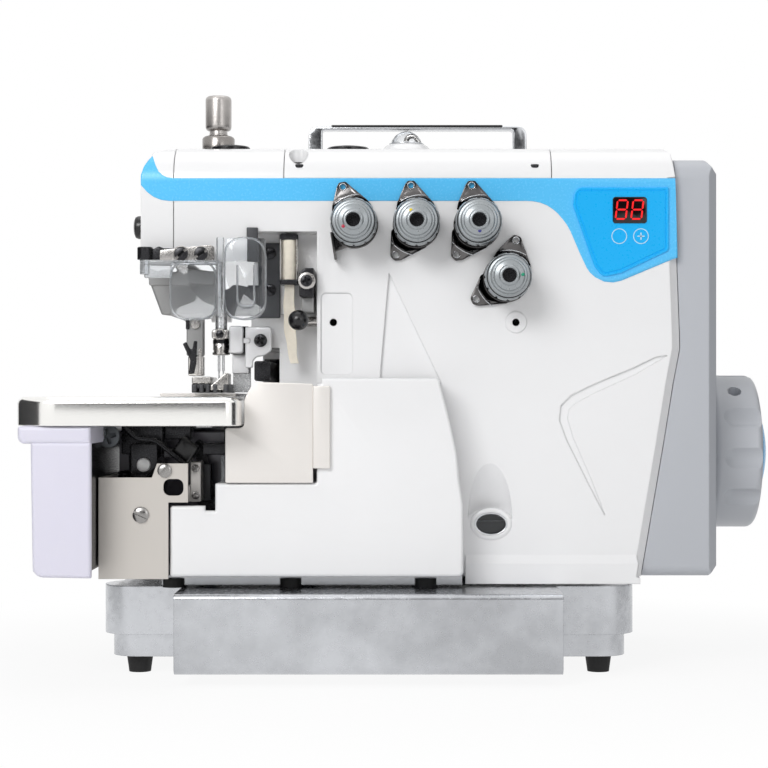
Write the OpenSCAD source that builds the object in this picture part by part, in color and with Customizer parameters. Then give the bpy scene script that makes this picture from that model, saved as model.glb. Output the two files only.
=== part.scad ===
// Overlock sewing machine: direct-drive head with two needles and four threads,
// standing on its cast oil pan. Millimetres, +Z up, front at -Y, handwheel at +X.
// The origin is under the middle of the machine, at the level of its rubber feet.

/* [Base] */
// Left face of the oil pan
pan_left = -134.3; // [-140:0.1:-125]
// Right face of the oil pan
pan_right = 85.8; // [80:0.1:90]
// Half depth of the base
pan_front = 140; // [135:1:145]
// Depth of the pan behind the origin
pan_back = 150; // [145:1:150]
// Underside of the pan above the table
pan_bottom = 7; // [5:0.5:9]
// Top face of the base casting
pan_top = 52.8; // [50:0.1:54]
// Wall thickness of the castings
cast_wall = 6; // [5:0.5:8]
// Diameter of the corner drums
drum_d = 41; // [38:1:42]
// Diameter of the step under each drum
step_d = 31; // [29:1:34]
// Top of a rubber foot
foot_h = 10.6; // [9:0.1:12]
// Largest diameter of a rubber foot
foot_d = 16; // [14:0.5:18]

/* [Head] */
// Distance of the front face from the shaft axis
body_front = 90; // [88:1:92]
// Distance of the back face from the shaft axis
body_back = 112; // [108:1:118]
// Underside of the head casting
body_bottom = 58.2; // [57:0.1:60]
// Underside of the arm
arm_bottom = 244; // [240:1:246]
// Top of the arm
arm_top = 313.3; // [310:0.1:316]
// Left end of the arm
arm_left = -159.4; // [-161:0.1:-157]
// Seam between face cover and arm
face_seam = -140; // [-142:0.5:-138]
// Left face of the column
column_left = -55.5; // [-58:0.5:-54]
// Radius of the rounding along the top of the arm
crown_r = 22; // [18:1:24]
// Left face of the bed
bed_left = -176; // [-178:1:-172]
// Front face of the bed
bed_front = 62; // [60:1:66]
// Top of the bed under the cloth plate
bed_top = 144; // [140:1:145]
// Thickness of a moulded or pressed cover
cover_wall = 3; // [2:0.5:4]
// Gap at the seam between two covers
seam_gap = 0.4; // [0.3:0.1:0.6]

/* [Drive] */
// Height of the main shaft
shaft_z = 130.2; // [128:0.1:132]
// Diameter of the main shaft
shaft_d = 15; // [14:1:16]
// Outer diameter of the shaft bearings
bearing_d = 35; // [32:1:36]
// Width of a shaft bearing
bearing_w = 11; // [9:1:12]
// Diameter of the handwheel
wheel_d = 96; // [92:1:98]
// Left face of the handwheel
wheel_x0 = 185; // [184:0.5:187]
// Right end of the handwheel, at the middle of its cap
wheel_x1 = 225; // [223:0.5:226]
// Right face of the motor cover
motor_x1 = 181.6; // [180:0.1:182.5]
// Radial clearance of every running fit
run_gap = 0.05; // [0.02:0.01:0.08]

/* [Sewing parts] */
// Needle bar, sideways
needle_x = -114.5; // [-115:0.1:-114]
// Needle bar, distance in front of the shaft axis
needle_y = 62; // [61:0.5:63]
// Diameter of the needle bar
needle_bar_d = 7.2; // [6.5:0.1:8]
// Top of the throat plate
throat_z = 166.6; // [165:0.1:167]
// Diameter of the looper rocker shafts
looper_shaft_d = 10; // [8:1:11]
// Height of the knife rocker shaft
knife_z = 180; // [178:0.5:182]
// Diameter of the knife rocker shaft
knife_shaft_d = 12; // [10:1:13]
// Diameter of the presser arm pivot pin
presser_pin_d = 10; // [8:1:11]

/* [Tensions] */
// Diameter of a tension knob
knob_d = 27.4; // [26:0.1:28]
// Front face of a tension knob, in front of the head
knob_reach = 38; // [34:1:42]
// Diameter of a tension stud
stud_d = 8; // [7:0.5:9]

/* [Hidden] */
$fn = 48;
eps = 0.01;
drum_left = -162.5;
drum_right = 112.5;
drum_front = -69;
drum_rear = 110;
// decks of the pan in front of and behind its open part
deck_front = -84;
deck_rear = 92;
// how far the foot of the casting hangs below its underside, short of the pan
foot_drop = body_bottom - pan_top - 1.4;
// face of the handwheel's rim, behind its domed cap
rim_x1 = wheel_x1 - 8.4;
cushion_x = [-139, -70.5, 8.5];
drum_z0 = 24;
step_z0 = foot_h;
top_cover_x0 = -75.2;
top_cover_x1 = 83.2;
// the top cover and its fittings follow the top of the arm
top_cover_z = arm_top - 19.9;
// screw at the cover's front left corner, with its seat
cover_screw = [-66.6, -81.4, arm_top - 12.4];
// right edge of the white casting, from its foot up to the crown
right_edge = [[136, body_bottom], [149.1, 134.8], [155.3, 173.4], [159, 192.7],
              [158.8, 204], [157.2, 246.5], [156, top_cover_z]];
edge_bevel = 5;
// front cover, hinged along its lower edge
cover_front = 118;
cover_back = 91;
cover_z0 = 60.7;
cover_hinge = [0, -112, 63];
// loopers rock on two shafts that run front to back
lower_rock = [-122, 92];
upper_rock = [-93, 104];
// tension units: three along the band and one lower to the right
tension_at = [[-33.3, 265.7], [3.1, 265.7], [38.9, 265.7], [56.1, 233.9]];
tension_roll = [-9, 0, 0, 22];
upper_eye = [-3.2, 23.1];
lower_eye = [-11.9, -17.4];
bracket_t = 2.4;
presser_pin = [-128, 52, 222];
knife_pin_y = 18;
guard_pin = [-155.7, -99];
cloth_pin = [-205, 48];
cloth_gap = 1.5;
throat_left = -150;
throat_right = -105;
throat_front = -74;
throat_back = 30;
rocker_z = 282;
release_pin = [-66, -74, 209.4];
// back of the pocket that holds the thread path
pocket_y = 70;
// pressure screw, and the seat of its lock nut
screw_at = [-120, -20];
screw_d = 12;
// middle line of the latch lever
latch_path = [[-166.6, 143.8], [-161.5, 140.2], [-150.6, 138.9], [-132.2, 124.3]];
// centre line of the curved groove in the front of the column
groove = [[150.9, 188.7], [144.8, 186.6], [131.6, 179.5], [108.2, 169.4], [96, 163.2],
          [90.8, 158.2], [89.9, 151.1], [94, 139], [105, 115.5], [114.3, 94.8]];

// ---------------------------------------------------------------- helpers

// box between two corners
module block(x0, x1, y0, y1, z0, z1)
  translate([x0, y0, z0]) cube([x1 - x0, y1 - y0, z1 - z0]);

// round bar along X, Y or Z
module bar_x(x0, x1, y, z, d)
  translate([x0, y, z]) rotate([0, 90, 0]) cylinder(d = d, h = x1 - x0);
module bar_y(x, y0, y1, z, d)
  translate([x, y0, z]) rotate([-90, 0, 0]) cylinder(d = d, h = y1 - y0);
module bar_z(x, y, z0, z1, d)
  translate([x, y, z0]) cylinder(d = d, h = z1 - z0);

// outline seen from the front, pushed from y0 back to y1
module from_front(y0, y1)
  translate([0, y1, 0]) rotate([90, 0, 0]) linear_extrude(y1 - y0) children();

// outline seen from the right, pushed from x0 to x1
module from_side(x0, x1)
  translate([x0, 0, 0]) rotate([90, 0, 90]) linear_extrude(x1 - x0) children();

// rectangle with one radius on its upper corners and another on its lower ones
module soft_rect(x0, x1, y0, y1, top_r, low_r) {
  translate([x0, y0 + low_r]) square([x1 - x0, y1 - y0 - top_r - low_r]);
  translate([x0 + top_r, y0 + low_r]) square([x1 - x0 - 2 * top_r, y1 - y0 - low_r]);
  translate([x0 + low_r, y0]) square([x1 - x0 - 2 * low_r, y1 - y0 - top_r]);
  for (x = [x0 + top_r, x1 - top_r]) translate([x, y1 - top_r]) circle(top_r);
  for (x = [x0 + low_r, x1 - low_r]) translate([x, y0 + low_r]) circle(low_r);
}

// slot with round ends between two points
module slot_2d(a, b, d) {
  along = b - a;
  reach = norm(along);
  translate(a) circle(d = d);
  translate(b) circle(d = d);
  translate(a) rotate(atan2(along[1], along[0])) translate([0, -d / 2]) square([reach, d]);
}

// band along a path, mitred at its points, that swells from both ends to width w in the middle
module ribbon_2d(path, w) {
  last = len(path) - 1;
  heading = [for (k = [0:last]) path[min(k + 1, last)] - path[max(k - 1, 0)]];
  half = [for (k = [0:last]) w / 2 * (0.08 + 0.92 * pow(sin(180 * k / last), 0.7))];
  side = [for (k = [0:last]) [-heading[k][1], heading[k][0]] / norm(heading[k]) * half[k]];
  polygon(concat([for (k = [0:last]) path[k] + side[k]],
                 [for (k = [last:-1:0]) path[k] - side[k]]));
}

// side view of the arm and column, shrunk by t all round
module head_side(t = 0)
  soft_rect(-body_front + t, body_back - t, body_bottom + t, arm_top - t, crown_r - t, 3);

// front view of the white casting and its covers
module head_front() {
  polygon(concat(right_edge, [[154.1, arm_top - 4.5], [149.6, arm_top], [arm_left + 20, arm_top],
    [arm_left + 6.7, arm_top - 3.6], [arm_left + 1.6, arm_top - 12.6], [arm_left, arm_top - 18],
    [arm_left, arm_bottom], [column_left, arm_bottom], [column_left, body_bottom]]));
}

// slotted screw head facing the front, with its face at y
module slotted_head(x, y, z, d, turn = 0)
  difference() {
    bar_y(x, y, y + 2.4, z, d);
    translate([x, y, z]) rotate([0, turn, 0]) cube([d + 2, 1.8, d / 7], center = true);
  }

// ---------------------------------------------------------------- base

module base_pan() color("lightsteelblue") difference() {
  w = cast_wall;
  union() {
    from_side(pan_left, pan_right) soft_rect(-pan_front, pan_back, pan_bottom, pan_top, 3, 5);
    for (x = [drum_left, drum_right], y = [drum_front, drum_rear]) {
      inner = x > 0 ? pan_right - w : pan_left + w;
      bar_z(x, y, drum_z0, pan_top, drum_d);
      bar_z(x, y, step_z0, drum_z0, step_d);
      block(min(x, inner), max(x, inner), y - drum_d / 2, y + drum_d / 2, drum_z0, pan_top);
      block(min(x, inner), max(x, inner), y - step_d / 2, y + step_d / 2, step_z0, drum_z0);
    }
    // side flanges between the drums
    block(drum_left - 12, drum_right + 12, drum_front, drum_rear, pan_top - w, pan_top);
  }
  block(pan_left + w, pan_right - w, -pan_front + w, pan_back - w, pan_bottom + w, pan_top - w);
  block(pan_left + w, pan_right - w, deck_front, deck_rear, pan_bottom + w, pan_top + 1);
}

module rubber_feet() color("#18181a")
  for (x = [drum_left, drum_right], y = [drum_front, drum_rear])
    translate([x, y, 0]) cylinder(d1 = foot_d - 3, d2 = foot_d, h = foot_h);

module base_cushions() color("#1c1c1e")
  for (x = cushion_x, y = [-body_front - 4, body_back - 12])
    bar_z(x, y, pan_top, body_bottom, 14);

// ---------------------------------------------------------------- head casting

module frame_solid() {
  intersection() {
    from_front(-body_front, body_back) head_front();
    from_side(face_seam + seam_gap / 2, 170) head_side();
  }
  // skirt along the foot of the column
  intersection() {
    from_front(-body_front - 2, -body_front + 1) head_front();
    from_side(32, 140) polygon([[-body_front, body_bottom + 13.2], [-body_front - 2, body_bottom + 7.8],
      [-body_front - 2, body_bottom], [-body_front + 1, body_bottom],
      [-body_front + 1, body_bottom + 13.2]]);
  }
  // bed with its looper compartment
  block(bed_left, column_left + 1, -bed_front, body_back, body_bottom, bed_top);
  // foot flange over the cushions
  block(bed_left + 30, 30, -body_front - 8, -bed_front + 1, body_bottom - foot_drop, body_bottom + 2);
  // foot of the skirt, down to just above the pan
  block(32, 135, -body_front - 2, -body_front + 4, body_bottom - foot_drop, body_bottom + 1);
  // raised ring round the right tapped hole
  bar_y(61.9, -body_front - 0.5, -body_front + 1, 208.4, 12.6);
  // neck under the throat plate, and the wall behind the sewing place
  block(-96, column_left + 1, -66, body_back, bed_top - 1, arm_bottom + 1);
  block(throat_left + 6, -95, -bed_front, throat_back, bed_top - 1, throat_z - 2.6);
  // bosses: presser arm pivot and cloth plate pivot
  block(-131, -118, 44, 60, presser_pin[2], arm_bottom + 1);
  bar_x(-131, -118, presser_pin[1], presser_pin[2], 16);
  block(cloth_pin[0] - 9, bed_left + 1, cloth_pin[1] - 9, cloth_pin[1] + 9, 132, bed_top);
}

// bevel along the right edge of the front face
module edge_cut() for (k = [0:len(right_edge) - 2]) {
  a = right_edge[k];
  b = right_edge[k + 1];
  translate([a[0], -body_front, a[1]]) rotate([0, atan2(b[0] - a[0], b[1] - a[1]), 0])
    rotate([0, 0, 45]) translate([0, 0, norm(b - a) / 2])
      cube([edge_bevel * sqrt(2), edge_bevel * sqrt(2), norm(b - a) + 1], center = true);
}

module frame_hollows() {
  w = cast_wall;
  // inside of arm and column
  intersection() {
    block(face_seam - 1, 146, -body_front, body_back, arm_bottom + w, arm_top);
    from_side(face_seam - 2, 147) head_side(w);
  }
  from_front(-body_front + w, body_back - w)
    polygon([[column_left + w, body_bottom + w], [127, body_bottom + w], [140, 134.8],
             [149, 192.7], [148, 250], [column_left + w, 260]]);
  // looper compartment, open at the front
  block(bed_left + w, column_left + w + 1, -bed_front - 30, 60, body_bottom + w, bed_top - 6);
  // slots above it for loopers and feed dogs
  block(-141, -109, -70, 10, bed_top - 7, throat_z);
  block(-110, -96.5, -72, -40, bed_top - 7, throat_z);
  // seat of the top cover, and the opening under it
  block(top_cover_x0, top_cover_x1, -100, 110, top_cover_z, arm_top + 1);
  // pocket of the knife arm
  block(-97, -79, -pocket_y - 1, knife_pin_y + 16, knife_z - 13, knife_z + 14);
}

module main_frame() color("white") difference() {
  union() {
    difference() { frame_solid(); frame_hollows(); edge_cut(); }
    // bulkhead that carries the looper shafts
    block(-150, -70, -44, -34, body_bottom + 1, bed_top - 1);
    // walls round the thread pocket, and the pad behind the oil window
    block(-100, column_left + 1, -body_front, -pocket_y + 4, arm_bottom, 266);
    block(-96, column_left + 1, -pocket_y, -60, 214, 266);
    block(30, 63, -body_front + 2, -70, 78, 128);
    // bearing bosses of the main shaft
    bar_x(100, 142.5, 0, shaft_z, bearing_d + 14);
    bar_x(-62, -44, 0, shaft_z, bearing_d + 12);
    // boss of the needle bar and of the rocker shaft
    bar_z(needle_x, -needle_y, arm_bottom, 257, needle_bar_d + 10);
    for (x = [-98, -60]) block(x, x + 8, -10, 10, arm_bottom, rocker_z + 9);
  }
  bar_x(90, 170, 0, shaft_z, shaft_d + 6);
  bar_x(-70, -40, 0, shaft_z, shaft_d + 6);
  bar_x(150 - bearing_w - 10, 170, 0, shaft_z, bearing_d);
  bar_x(-62 - eps, -62 + bearing_w, 0, shaft_z, bearing_d);
  bar_z(needle_x, -needle_y, 230, 270, needle_bar_d + 2 * run_gap);
  bar_x(-105, -45, 0, rocker_z, 10 + 2 * run_gap);
  bar_x(-135, -110, presser_pin[1], presser_pin[2], presser_pin_d + 2 * run_gap);
  bar_x(-97, -60, knife_pin_y, knife_z, knife_shaft_d + 2 * run_gap);
  for (p = [lower_rock, upper_rock])
    bar_y(p[0], -50, -30, p[1], looper_shaft_d + 2 * run_gap);
  bar_z(cloth_pin[0], cloth_pin[1], 120, 160, 8 + 2 * run_gap);
  // thread pocket in the front of the arm
  block(-94, column_left, -body_front - 1, -pocket_y, arm_bottom - 1, 262);
  bar_x(-70, -50, release_pin[1], release_pin[2], 6 + 2 * run_gap);
  // seat of the pressure screw, and tapped holes through the front wall
  bar_z(screw_at[0], screw_at[1], arm_top - 13, arm_top + 7, screw_d + 2 * run_gap);
  for (x = [-45.8, 61.9]) bar_y(x, -92, -body_front + cast_wall + 1, 208.4, 4.4);
  // room for the cushions under the foot flange
  for (x = cushion_x) bar_z(x, -body_front - 4, pan_top, body_bottom, 14.6);
  // oval oil window
  from_front(-92, -80) slot_2d([44, 89.7], [49, 89.7], 14);
  // arched scoop above the oil window
  translate([46.6, -93, 100]) rotate([24, 0, 0]) bar_z(0, 0, -8, 26, 26);
  // pocket behind the opening panel
  from_front(-92, -89) soft_rect(-53.1, -34.6, 177.4, 225.7, 3, 3);
  // triangular recess above the opening cover, and the long curved groove
  from_front(-92, -88) polygon([[-13, 237.5], [-18, 180.3], [-18, 172], [18, 172], [15.9, 176.8]]);
  from_front(-92, -88.8) ribbon_2d(groove, 5.4);
}

module face_cover() color("white") difference() {
  intersection() {
    from_front(-body_front, body_back) head_front();
    from_side(arm_left - 1, face_seam - seam_gap / 2) head_side();
  }
  intersection() {
    block(arm_left + cover_wall, face_seam, -100, 100, arm_bottom + cover_wall, arm_top - 13);
    from_side(arm_left, face_seam + 1) head_side(cover_wall);
  }
}

module top_cover() color("white") difference() {
  union() {
    top_cover_shell();
    intersection() {
      bar_z(cover_screw[0], cover_screw[1], cover_screw[2] - 4, arm_top, 15.4);
      from_side(top_cover_x0, top_cover_x1) head_side();
    }
  }
  // counterbore of the cover screw, open to the front
  bar_z(cover_screw[0], cover_screw[1], cover_screw[2], arm_top + 1, 11.4);
  bar_z(cover_screw[0], cover_screw[1], cover_screw[2] - 5, arm_top, 4.5);
}

module top_cover_shell() difference() {
  intersection() {
    block(top_cover_x0 + seam_gap, top_cover_x1 - seam_gap, -body_front - 10, body_back - 12,
          top_cover_z, arm_top + 7);
    from_side(top_cover_x0, top_cover_x1) head_side();
  }
  intersection() {
    block(top_cover_x0 + 4, top_cover_x1 - 4, -body_front - 10, body_back - 12,
          top_cover_z - 1, arm_top - cover_wall);
    from_side(top_cover_x0, top_cover_x1) head_side(cover_wall);
  }
}

module carry_handle() color("silver") {
  z1 = arm_top + 23;
  leg_w = 8.8;
  from_front(-5, 5) difference() {
    soft_rect(-64.4, 73.7, arm_top, z1, 6, 0.5);
    soft_rect(-64.4 + leg_w, 73.7 - leg_w, arm_top - 1, z1 - 2.4, 1.6, 0.5);
  }
}

module oil_sight_base() color("white") translate([-2.4, 0, arm_top]) rotate_extrude() {
  polygon([[0, 0], [20.5, 0], [20.5, 1.4], [17.6, 2.4], [15.4, 4.4], [14.5, 7], [14.5, 8.4],
    [13.9, 9], [0, 9]]);
}

module oil_sight_dome() color("#dfe8ee") translate([-2.4, 0, arm_top + 9])
  rotate_extrude() difference() {
    intersection() {
      translate([0, -2]) circle(9.6);
      square([12, 12]);
    }
    intersection() {
      translate([0, -2]) circle(8);
      translate([-1, 0]) square([12, 5.6]);
    }
  }

// push-in plug with a low dome
module oil_plug(x, y, d) translate([x, y, arm_top]) rotate_extrude()
  polygon([[0, 0], [d / 2, 0], [d / 2, 3.4], [d / 2 - 1.2, 4.4], [d / 3, 5.1], [0, 5.4]]);
module oil_plugs() color("#1b1b1d") {
  oil_plug(-38.4, -42, 26);
  oil_plug(-110.2, -46, 24);
}

module black_screws() color("#202022") {
  slotted_head(-134.3, -102, 247.9, 8.6, 40);
  slotted_head(-122.7, -102, 247.9, 8.6, 40);
  for (z = [250.5, 228.4]) slotted_head(-84.3, -pocket_y - 4.4, z, 7.4, 10);
  slotted_head(-174.6, -100, 141, 12.6, 20);
  slotted_head(-61.4, -100.4, 231.8, 8.6, 0);
  translate(cover_screw) cylinder(d = 8.4, h = 2.6);
}

module bright_screws() color("gainsboro") {
  slotted_head(-141.6, -122.4, 122.1, 8, -45);
  slotted_head(-155.3, -122.4, 96.6, 9, 20);
  // screws of the looper thread guide, and the locating pin of its bracket
  for (z = [105.5, 121.5]) slotted_head(-128.8, -74.4, z, 4.6, 0);
  bar_y(-154.8, -99.4, -97, 127, 8);
}

// ---------------------------------------------------------------- drive

module motor_cover() color("#b2b5ba") {
  edge = [for (p = right_edge) [p[0] + seam_gap, p[1]]];
  front = -body_front + edge_bevel;
  top = arm_top - 7.4;
  difference() {
    intersection() {
      from_front(-100, 120)
        polygon(concat([[motor_x1 - 5, body_bottom], [motor_x1, body_bottom + 6], [motor_x1, top - 9],
                        [motor_x1 - 7, top], [156 + seam_gap, top]],
                       [for (i = [6:-1:0]) edge[i]]));
      from_side(130, 190) soft_rect(front, body_back, body_bottom, top, 12, 6);
      // bevels along its upright edges
      translate([0, 0, body_bottom - 1]) linear_extrude(top - body_bottom + 2)
        polygon([[130, front], [motor_x1 - 5, front], [motor_x1, front + 5], [motor_x1, body_back - 5],
          [motor_x1 - 5, body_back], [130, body_back]]);
    }
    from_side(152, motor_x1 - cover_wall)
      soft_rect(front + 8, body_back - 8, body_bottom + 6, top - 6, 11, 4);
    bar_x(130, 190, 0, shaft_z, bearing_d + 1);
  }
}

module motor_stator() color("#9a5a35") difference() {
  bar_x(162, motor_x1 - cover_wall, 0, shaft_z, 104);
  bar_x(159, motor_x1, 0, shaft_z, 62);
}

module motor_rotor() color("#55585c") difference() {
  bar_x(161, 175, 0, shaft_z, 60);
  bar_x(160, 176, 0, shaft_z, shaft_d);
}

module shaft_bearings() color("silver")
  for (x = [150 - bearing_w - 10, -62]) difference() {
    bar_x(x, x + bearing_w, 0, shaft_z, bearing_d);
    bar_x(x - 1, x + bearing_w + 1, 0, shaft_z, shaft_d + 2 * run_gap);
  }

module main_shaft() color("silver") {
  bar_x(-66, rim_x1 - 2.2, 0, shaft_z, shaft_d);
  bar_x(30, 42, 0, shaft_z, 46);
}

module handwheel() color("#96999f") translate([0, 0, shaft_z]) difference() {
  rotate([0, 90, 0]) rotate_extrude() polygon([[shaft_d / 2, wheel_x0],
    [wheel_d / 2 - 6, wheel_x0], [wheel_d / 2 - 1, wheel_x0 + 3], [wheel_d / 2, wheel_x0 + 8],
    [wheel_d / 2, rim_x1 - 5], [wheel_d / 2 - 1.4, rim_x1 - 1.6], [wheel_d / 2 - 4.4, rim_x1],
    [28, rim_x1 + 0.5], [28, rim_x1 - 2], [shaft_d / 2, rim_x1 - 2]]);
  // the back of the wheel is hollow between hub and rim
  rotate([0, 90, 0]) rotate_extrude() polygon([[17, wheel_x0 - 1], [36, wheel_x0 - 1],
    [34, wheel_x0 + 14], [19, wheel_x0 + 14]]);
  // three groups of three finger flutes round the rim, open toward the face
  for (i = [0:2], a = [63, 94, 125]) rotate([i * 120 + a, 0, 0]) translate([0, 0, wheel_d / 2 + 5]) {
    bar_x(wheel_x0 + 14, wheel_x1 + 1, 0, 0, 16);
    translate([wheel_x0 + 14, 0, 0]) sphere(d = 16);
  }
  // grub screw hole
  rotate([38, 0, 0]) bar_z(wheel_x0 + 16, 0, 20, wheel_d, 7.8);
}

// domed cap in the wheel's face, hollow behind its rim
module handwheel_disc() color("deepskyblue") translate([0, 0, shaft_z]) rotate([0, 90, 0])
  rotate_extrude() polygon([[0, wheel_x1 - 3], [14, wheel_x1 - 4.4], [20, wheel_x1 - 6.2],
    [20, rim_x1 - 2], [27.9, rim_x1 - 2], [27.9, wheel_x1 - 5.6], [26.6, wheel_x1 - 4.6],
    [14, wheel_x1 - 1.4], [0, wheel_x1]]);

// ---------------------------------------------------------------- panel and windows

module control_panel() color("#28b4f5") from_front(-body_front - 1.2, -body_front)
  polygon([[95.4, 277.3], [96.2, 284.1], [100.9, 287.7], [152, 288], [152, 250.7],
           [124.1, 237.4], [113, 237.5], [108, 241.5], [104.4, 252.4]]);

module display_window() color("black")
  block(118.8, 138.9, -body_front - 2, -body_front - 1.2, 266.7, 282.2);

module oil_window() color("#3a3c3e")
  from_front(-body_front + 7, -body_front + 10) slot_2d([44, 89.7], [49, 89.7], 14);

// ---------------------------------------------------------------- thread tensions

module tension_place(i)
  translate([tension_at[i][0], -body_front, tension_at[i][1]]) rotate([0, tension_roll[i], 0])
    children();

module tension_studs() color("silver") for (i = [0:3]) tension_place(i) {
  bar_y(0, -knob_reach + 7, 0, 0, stud_d);
  bar_y(0, -10, -6, 0, 26);
}

// two-eared sheet guide under each knob, with an eye in each ear; on the first the lower ear
// is folded forward, square to the sheet
module tension_brackets() color("#4c5055") for (i = [0:3]) tension_place(i) difference() {
  union() {
    bar_y(0, -bracket_t, 0, 0, 28);
    from_front(-bracket_t, 0) polygon([[-12, 9], [-11.2, 13], [-6.8, 23.6], [-5, 25.5], [-1.6, 25.7],
      [0, 24.4], [10, 13], [12, 8]]);
    if (i == 0) {
      block(-14.6, -13, -14, 0, -19.5, -3);
      from_front(-bracket_t, 0) polygon([[-14, -2], [-14, -14], [-6, -12.4], [-4, -6]]);
    }
    else from_front(-bracket_t, 0) polygon([[-11, 4], [-14.8, -3.7], [-15.2, -17], [-13.8, -19.8],
      [-10.6, -20.6], [5.5, -13.4], [12, -5]]);
  }
  bar_y(upper_eye[0], -4, 1, upper_eye[1], 3.4);
  if (i > 0) bar_y(lower_eye[0], -4, 1, lower_eye[1], 3.4);
  bar_y(0, -4, 1, 0, stud_d + 2 * run_gap);
}

// stepped knob: flange with rounded edge, waist, and a front grip
module tension_knob() color("#a5aaac") difference() {
  rotate([90, 0, 0]) rotate_extrude() polygon([[stud_d / 2 + run_gap, 14], [knob_d / 2 - 3, 14],
    [knob_d / 2, 17], [knob_d / 2, 25], [knob_d / 2 - 2, 27], [knob_d / 2 - 2, 31],
    [knob_d / 2 - 5, 33], [knob_d / 2 - 6, knob_reach - 1], [knob_d / 2 - 7, knob_reach],
    [stud_d / 2 + run_gap, knob_reach]]);
  for (a = [0:30:330]) rotate([0, a, 0]) bar_y(knob_d / 2 + 0.8, -28, -13, 0, 3.4);
}
module tension_knob_1() tension_place(0) tension_knob();
module tension_knob_2() tension_place(1) tension_knob();
module tension_knob_3() tension_place(2) tension_knob();
module tension_knob_4() tension_place(3) tension_knob();

// ---------------------------------------------------------------- front of the head

module head_plate() color("#3c3e42") {
  block(-94, -78.1, -pocket_y - 2, -pocket_y, 211.5, 256.7);
  block(-108, -94, -pocket_y - 2, -pocket_y, 216.5, 232);
  block(-96.8, -90.2, -93, -90, 243.4, 264.3);
}

// clip that holds the felt: a window between two bands
module felt_holder() color("#3a3c3e") difference() {
  block(-77.8, -67, -85, -pocket_y, 231, 261);
  bar_z(-72.4, -79.5, 230, 262, 8.4);
  block(-79, -66, -90, -74, 237.4, 256.6);
}

// felt roll, and the strip that hangs from it
module felt_wick() color("#ebe1d2") {
  bar_z(-72.4, -79.5, 229, 258.6, 8);
  block(-75.6, -69.2, -81.4, -78.6, 184, 231);
}

module guide_bracket() color("#202224") difference() {
  block(-65.6, column_left - 1.5, -98, -pocket_y, 223.1, 240.1);
  block(-64, -50, -90, -72, 225, 238);
}

module release_lever() color("#151517") {
  bar_x(-69, -51, release_pin[1], release_pin[2], 6);
  bar_y(release_pin[0], -93, release_pin[1], release_pin[2], 5);
  translate([release_pin[0], -97, release_pin[2]]) sphere(d = 12);
}

module guard_bracket() color("#1d1d1f") {
  difference() {
    union() {
      block(-154, -116, -99.6, -body_front, 244.5, 251);
      bar_z(guard_pin[0], guard_pin[1], 244.5, 252, 9);
    }
    bar_z(guard_pin[0], guard_pin[1], 244, 253, 6 + 2 * run_gap);
  }
}

module eye_guard() color("#e4ecf2") {
  bar_z(guard_pin[0], guard_pin[1], 236, 251, 6);
  block(guard_pin[0], -84.2, -103.5, -100.5, 240, 243);
  from_front(-106, -103.5) {
    soft_rect(-140.8, -113, 209, 243, 2, 12);
    soft_rect(-109, -84.2, 209, 257.5, 2, 12);
    translate([-114, 212]) square([6, 45]);
  }
}

// ---------------------------------------------------------------- needle drive

module needle_rocker() color("#8d9094") {
  bar_x(-100, -50, 0, rocker_z, 10);
  bar_x(-89, -63, 0, rocker_z, 22);
  block(-89, -81, -50, 0, rocker_z - 7, rocker_z + 7);
  block(-110.4, -81, -52, -44, rocker_z - 7, rocker_z + 7);
  // fork round the driving pin of the needle bar
  for (z = [-7, 3.4]) block(-110.4, -105.4, -66, -44, rocker_z + z, rocker_z + z + 3.6);
}

module needle_bar() color("silver") {
  bar_z(needle_x, -needle_y, 205, 294, needle_bar_d);
  bar_x(needle_x, needle_x + 9.5, -needle_y, rocker_z, 6.2);
}

module needle_clamp() color("gainsboro") difference() {
  union() {
    bar_z(needle_x, -needle_y, 190, 205, 11);
    block(needle_x - 5, needle_x + 5, -needle_y - 8, -needle_y, 199, 205);
  }
  for (x = [-1.3, 1.3]) bar_z(needle_x + x, -needle_y, 189, 200, 1.6);
}

module needles() color("silver") for (x = [-1.3, 1.3]) {
  bar_z(needle_x + x, -needle_y, 180, 200, 1.6);
  translate([needle_x + x, -needle_y, 168.5]) cylinder(d1 = 0.3, d2 = 0.9, h = 5);
  bar_z(needle_x + x, -needle_y, 173.5, 180, 0.9);
}

// ---------------------------------------------------------------- presser

module pressure_lock_nut() color("silver") translate([screw_at[0], screw_at[1], arm_top]) difference() {
  cylinder(d = 20, h = 10);
  translate([0, 0, -1]) cylinder(d = screw_d + 2 * run_gap, h = 12);
}

module pressure_knob() color("#cfcac4") translate([screw_at[0], screw_at[1], arm_top]) {
  translate([0, 0, -11]) cylinder(d = screw_d, h = 26);
  translate([0, 0, 14]) rotate_extrude()
    polygon([[0, 0], [7, 0], [8, 1], [8, 23.6], [6.5, 25.1], [0, 25.1]]);
}

module presser_arm() color("#8f9296") {
  bar_x(-153, -116, presser_pin[1], presser_pin[2], presser_pin_d);
  difference() {
    from_front(-68, 60) polygon([[-149.9, 213.8], [-123, 213.8], [-121, 220], [-121, 238.3],
      [-157.9, 238.3], [-157.9, 235.5]]);
    block(-134, -119, 40, 64, 200, 242);
    // the underside rises behind the foot
    block(-160, -119, -52, 66, 210, 216.4);
  }
  // hanging leg that holds the foot
  block(-135, -124.6, -68, -58, 189, 216);
  block(-145, -124.6, -68, -58, 212.6, 218);
  bar_y(-129.4, -70, -68 + eps, 208, 7);
}

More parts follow.
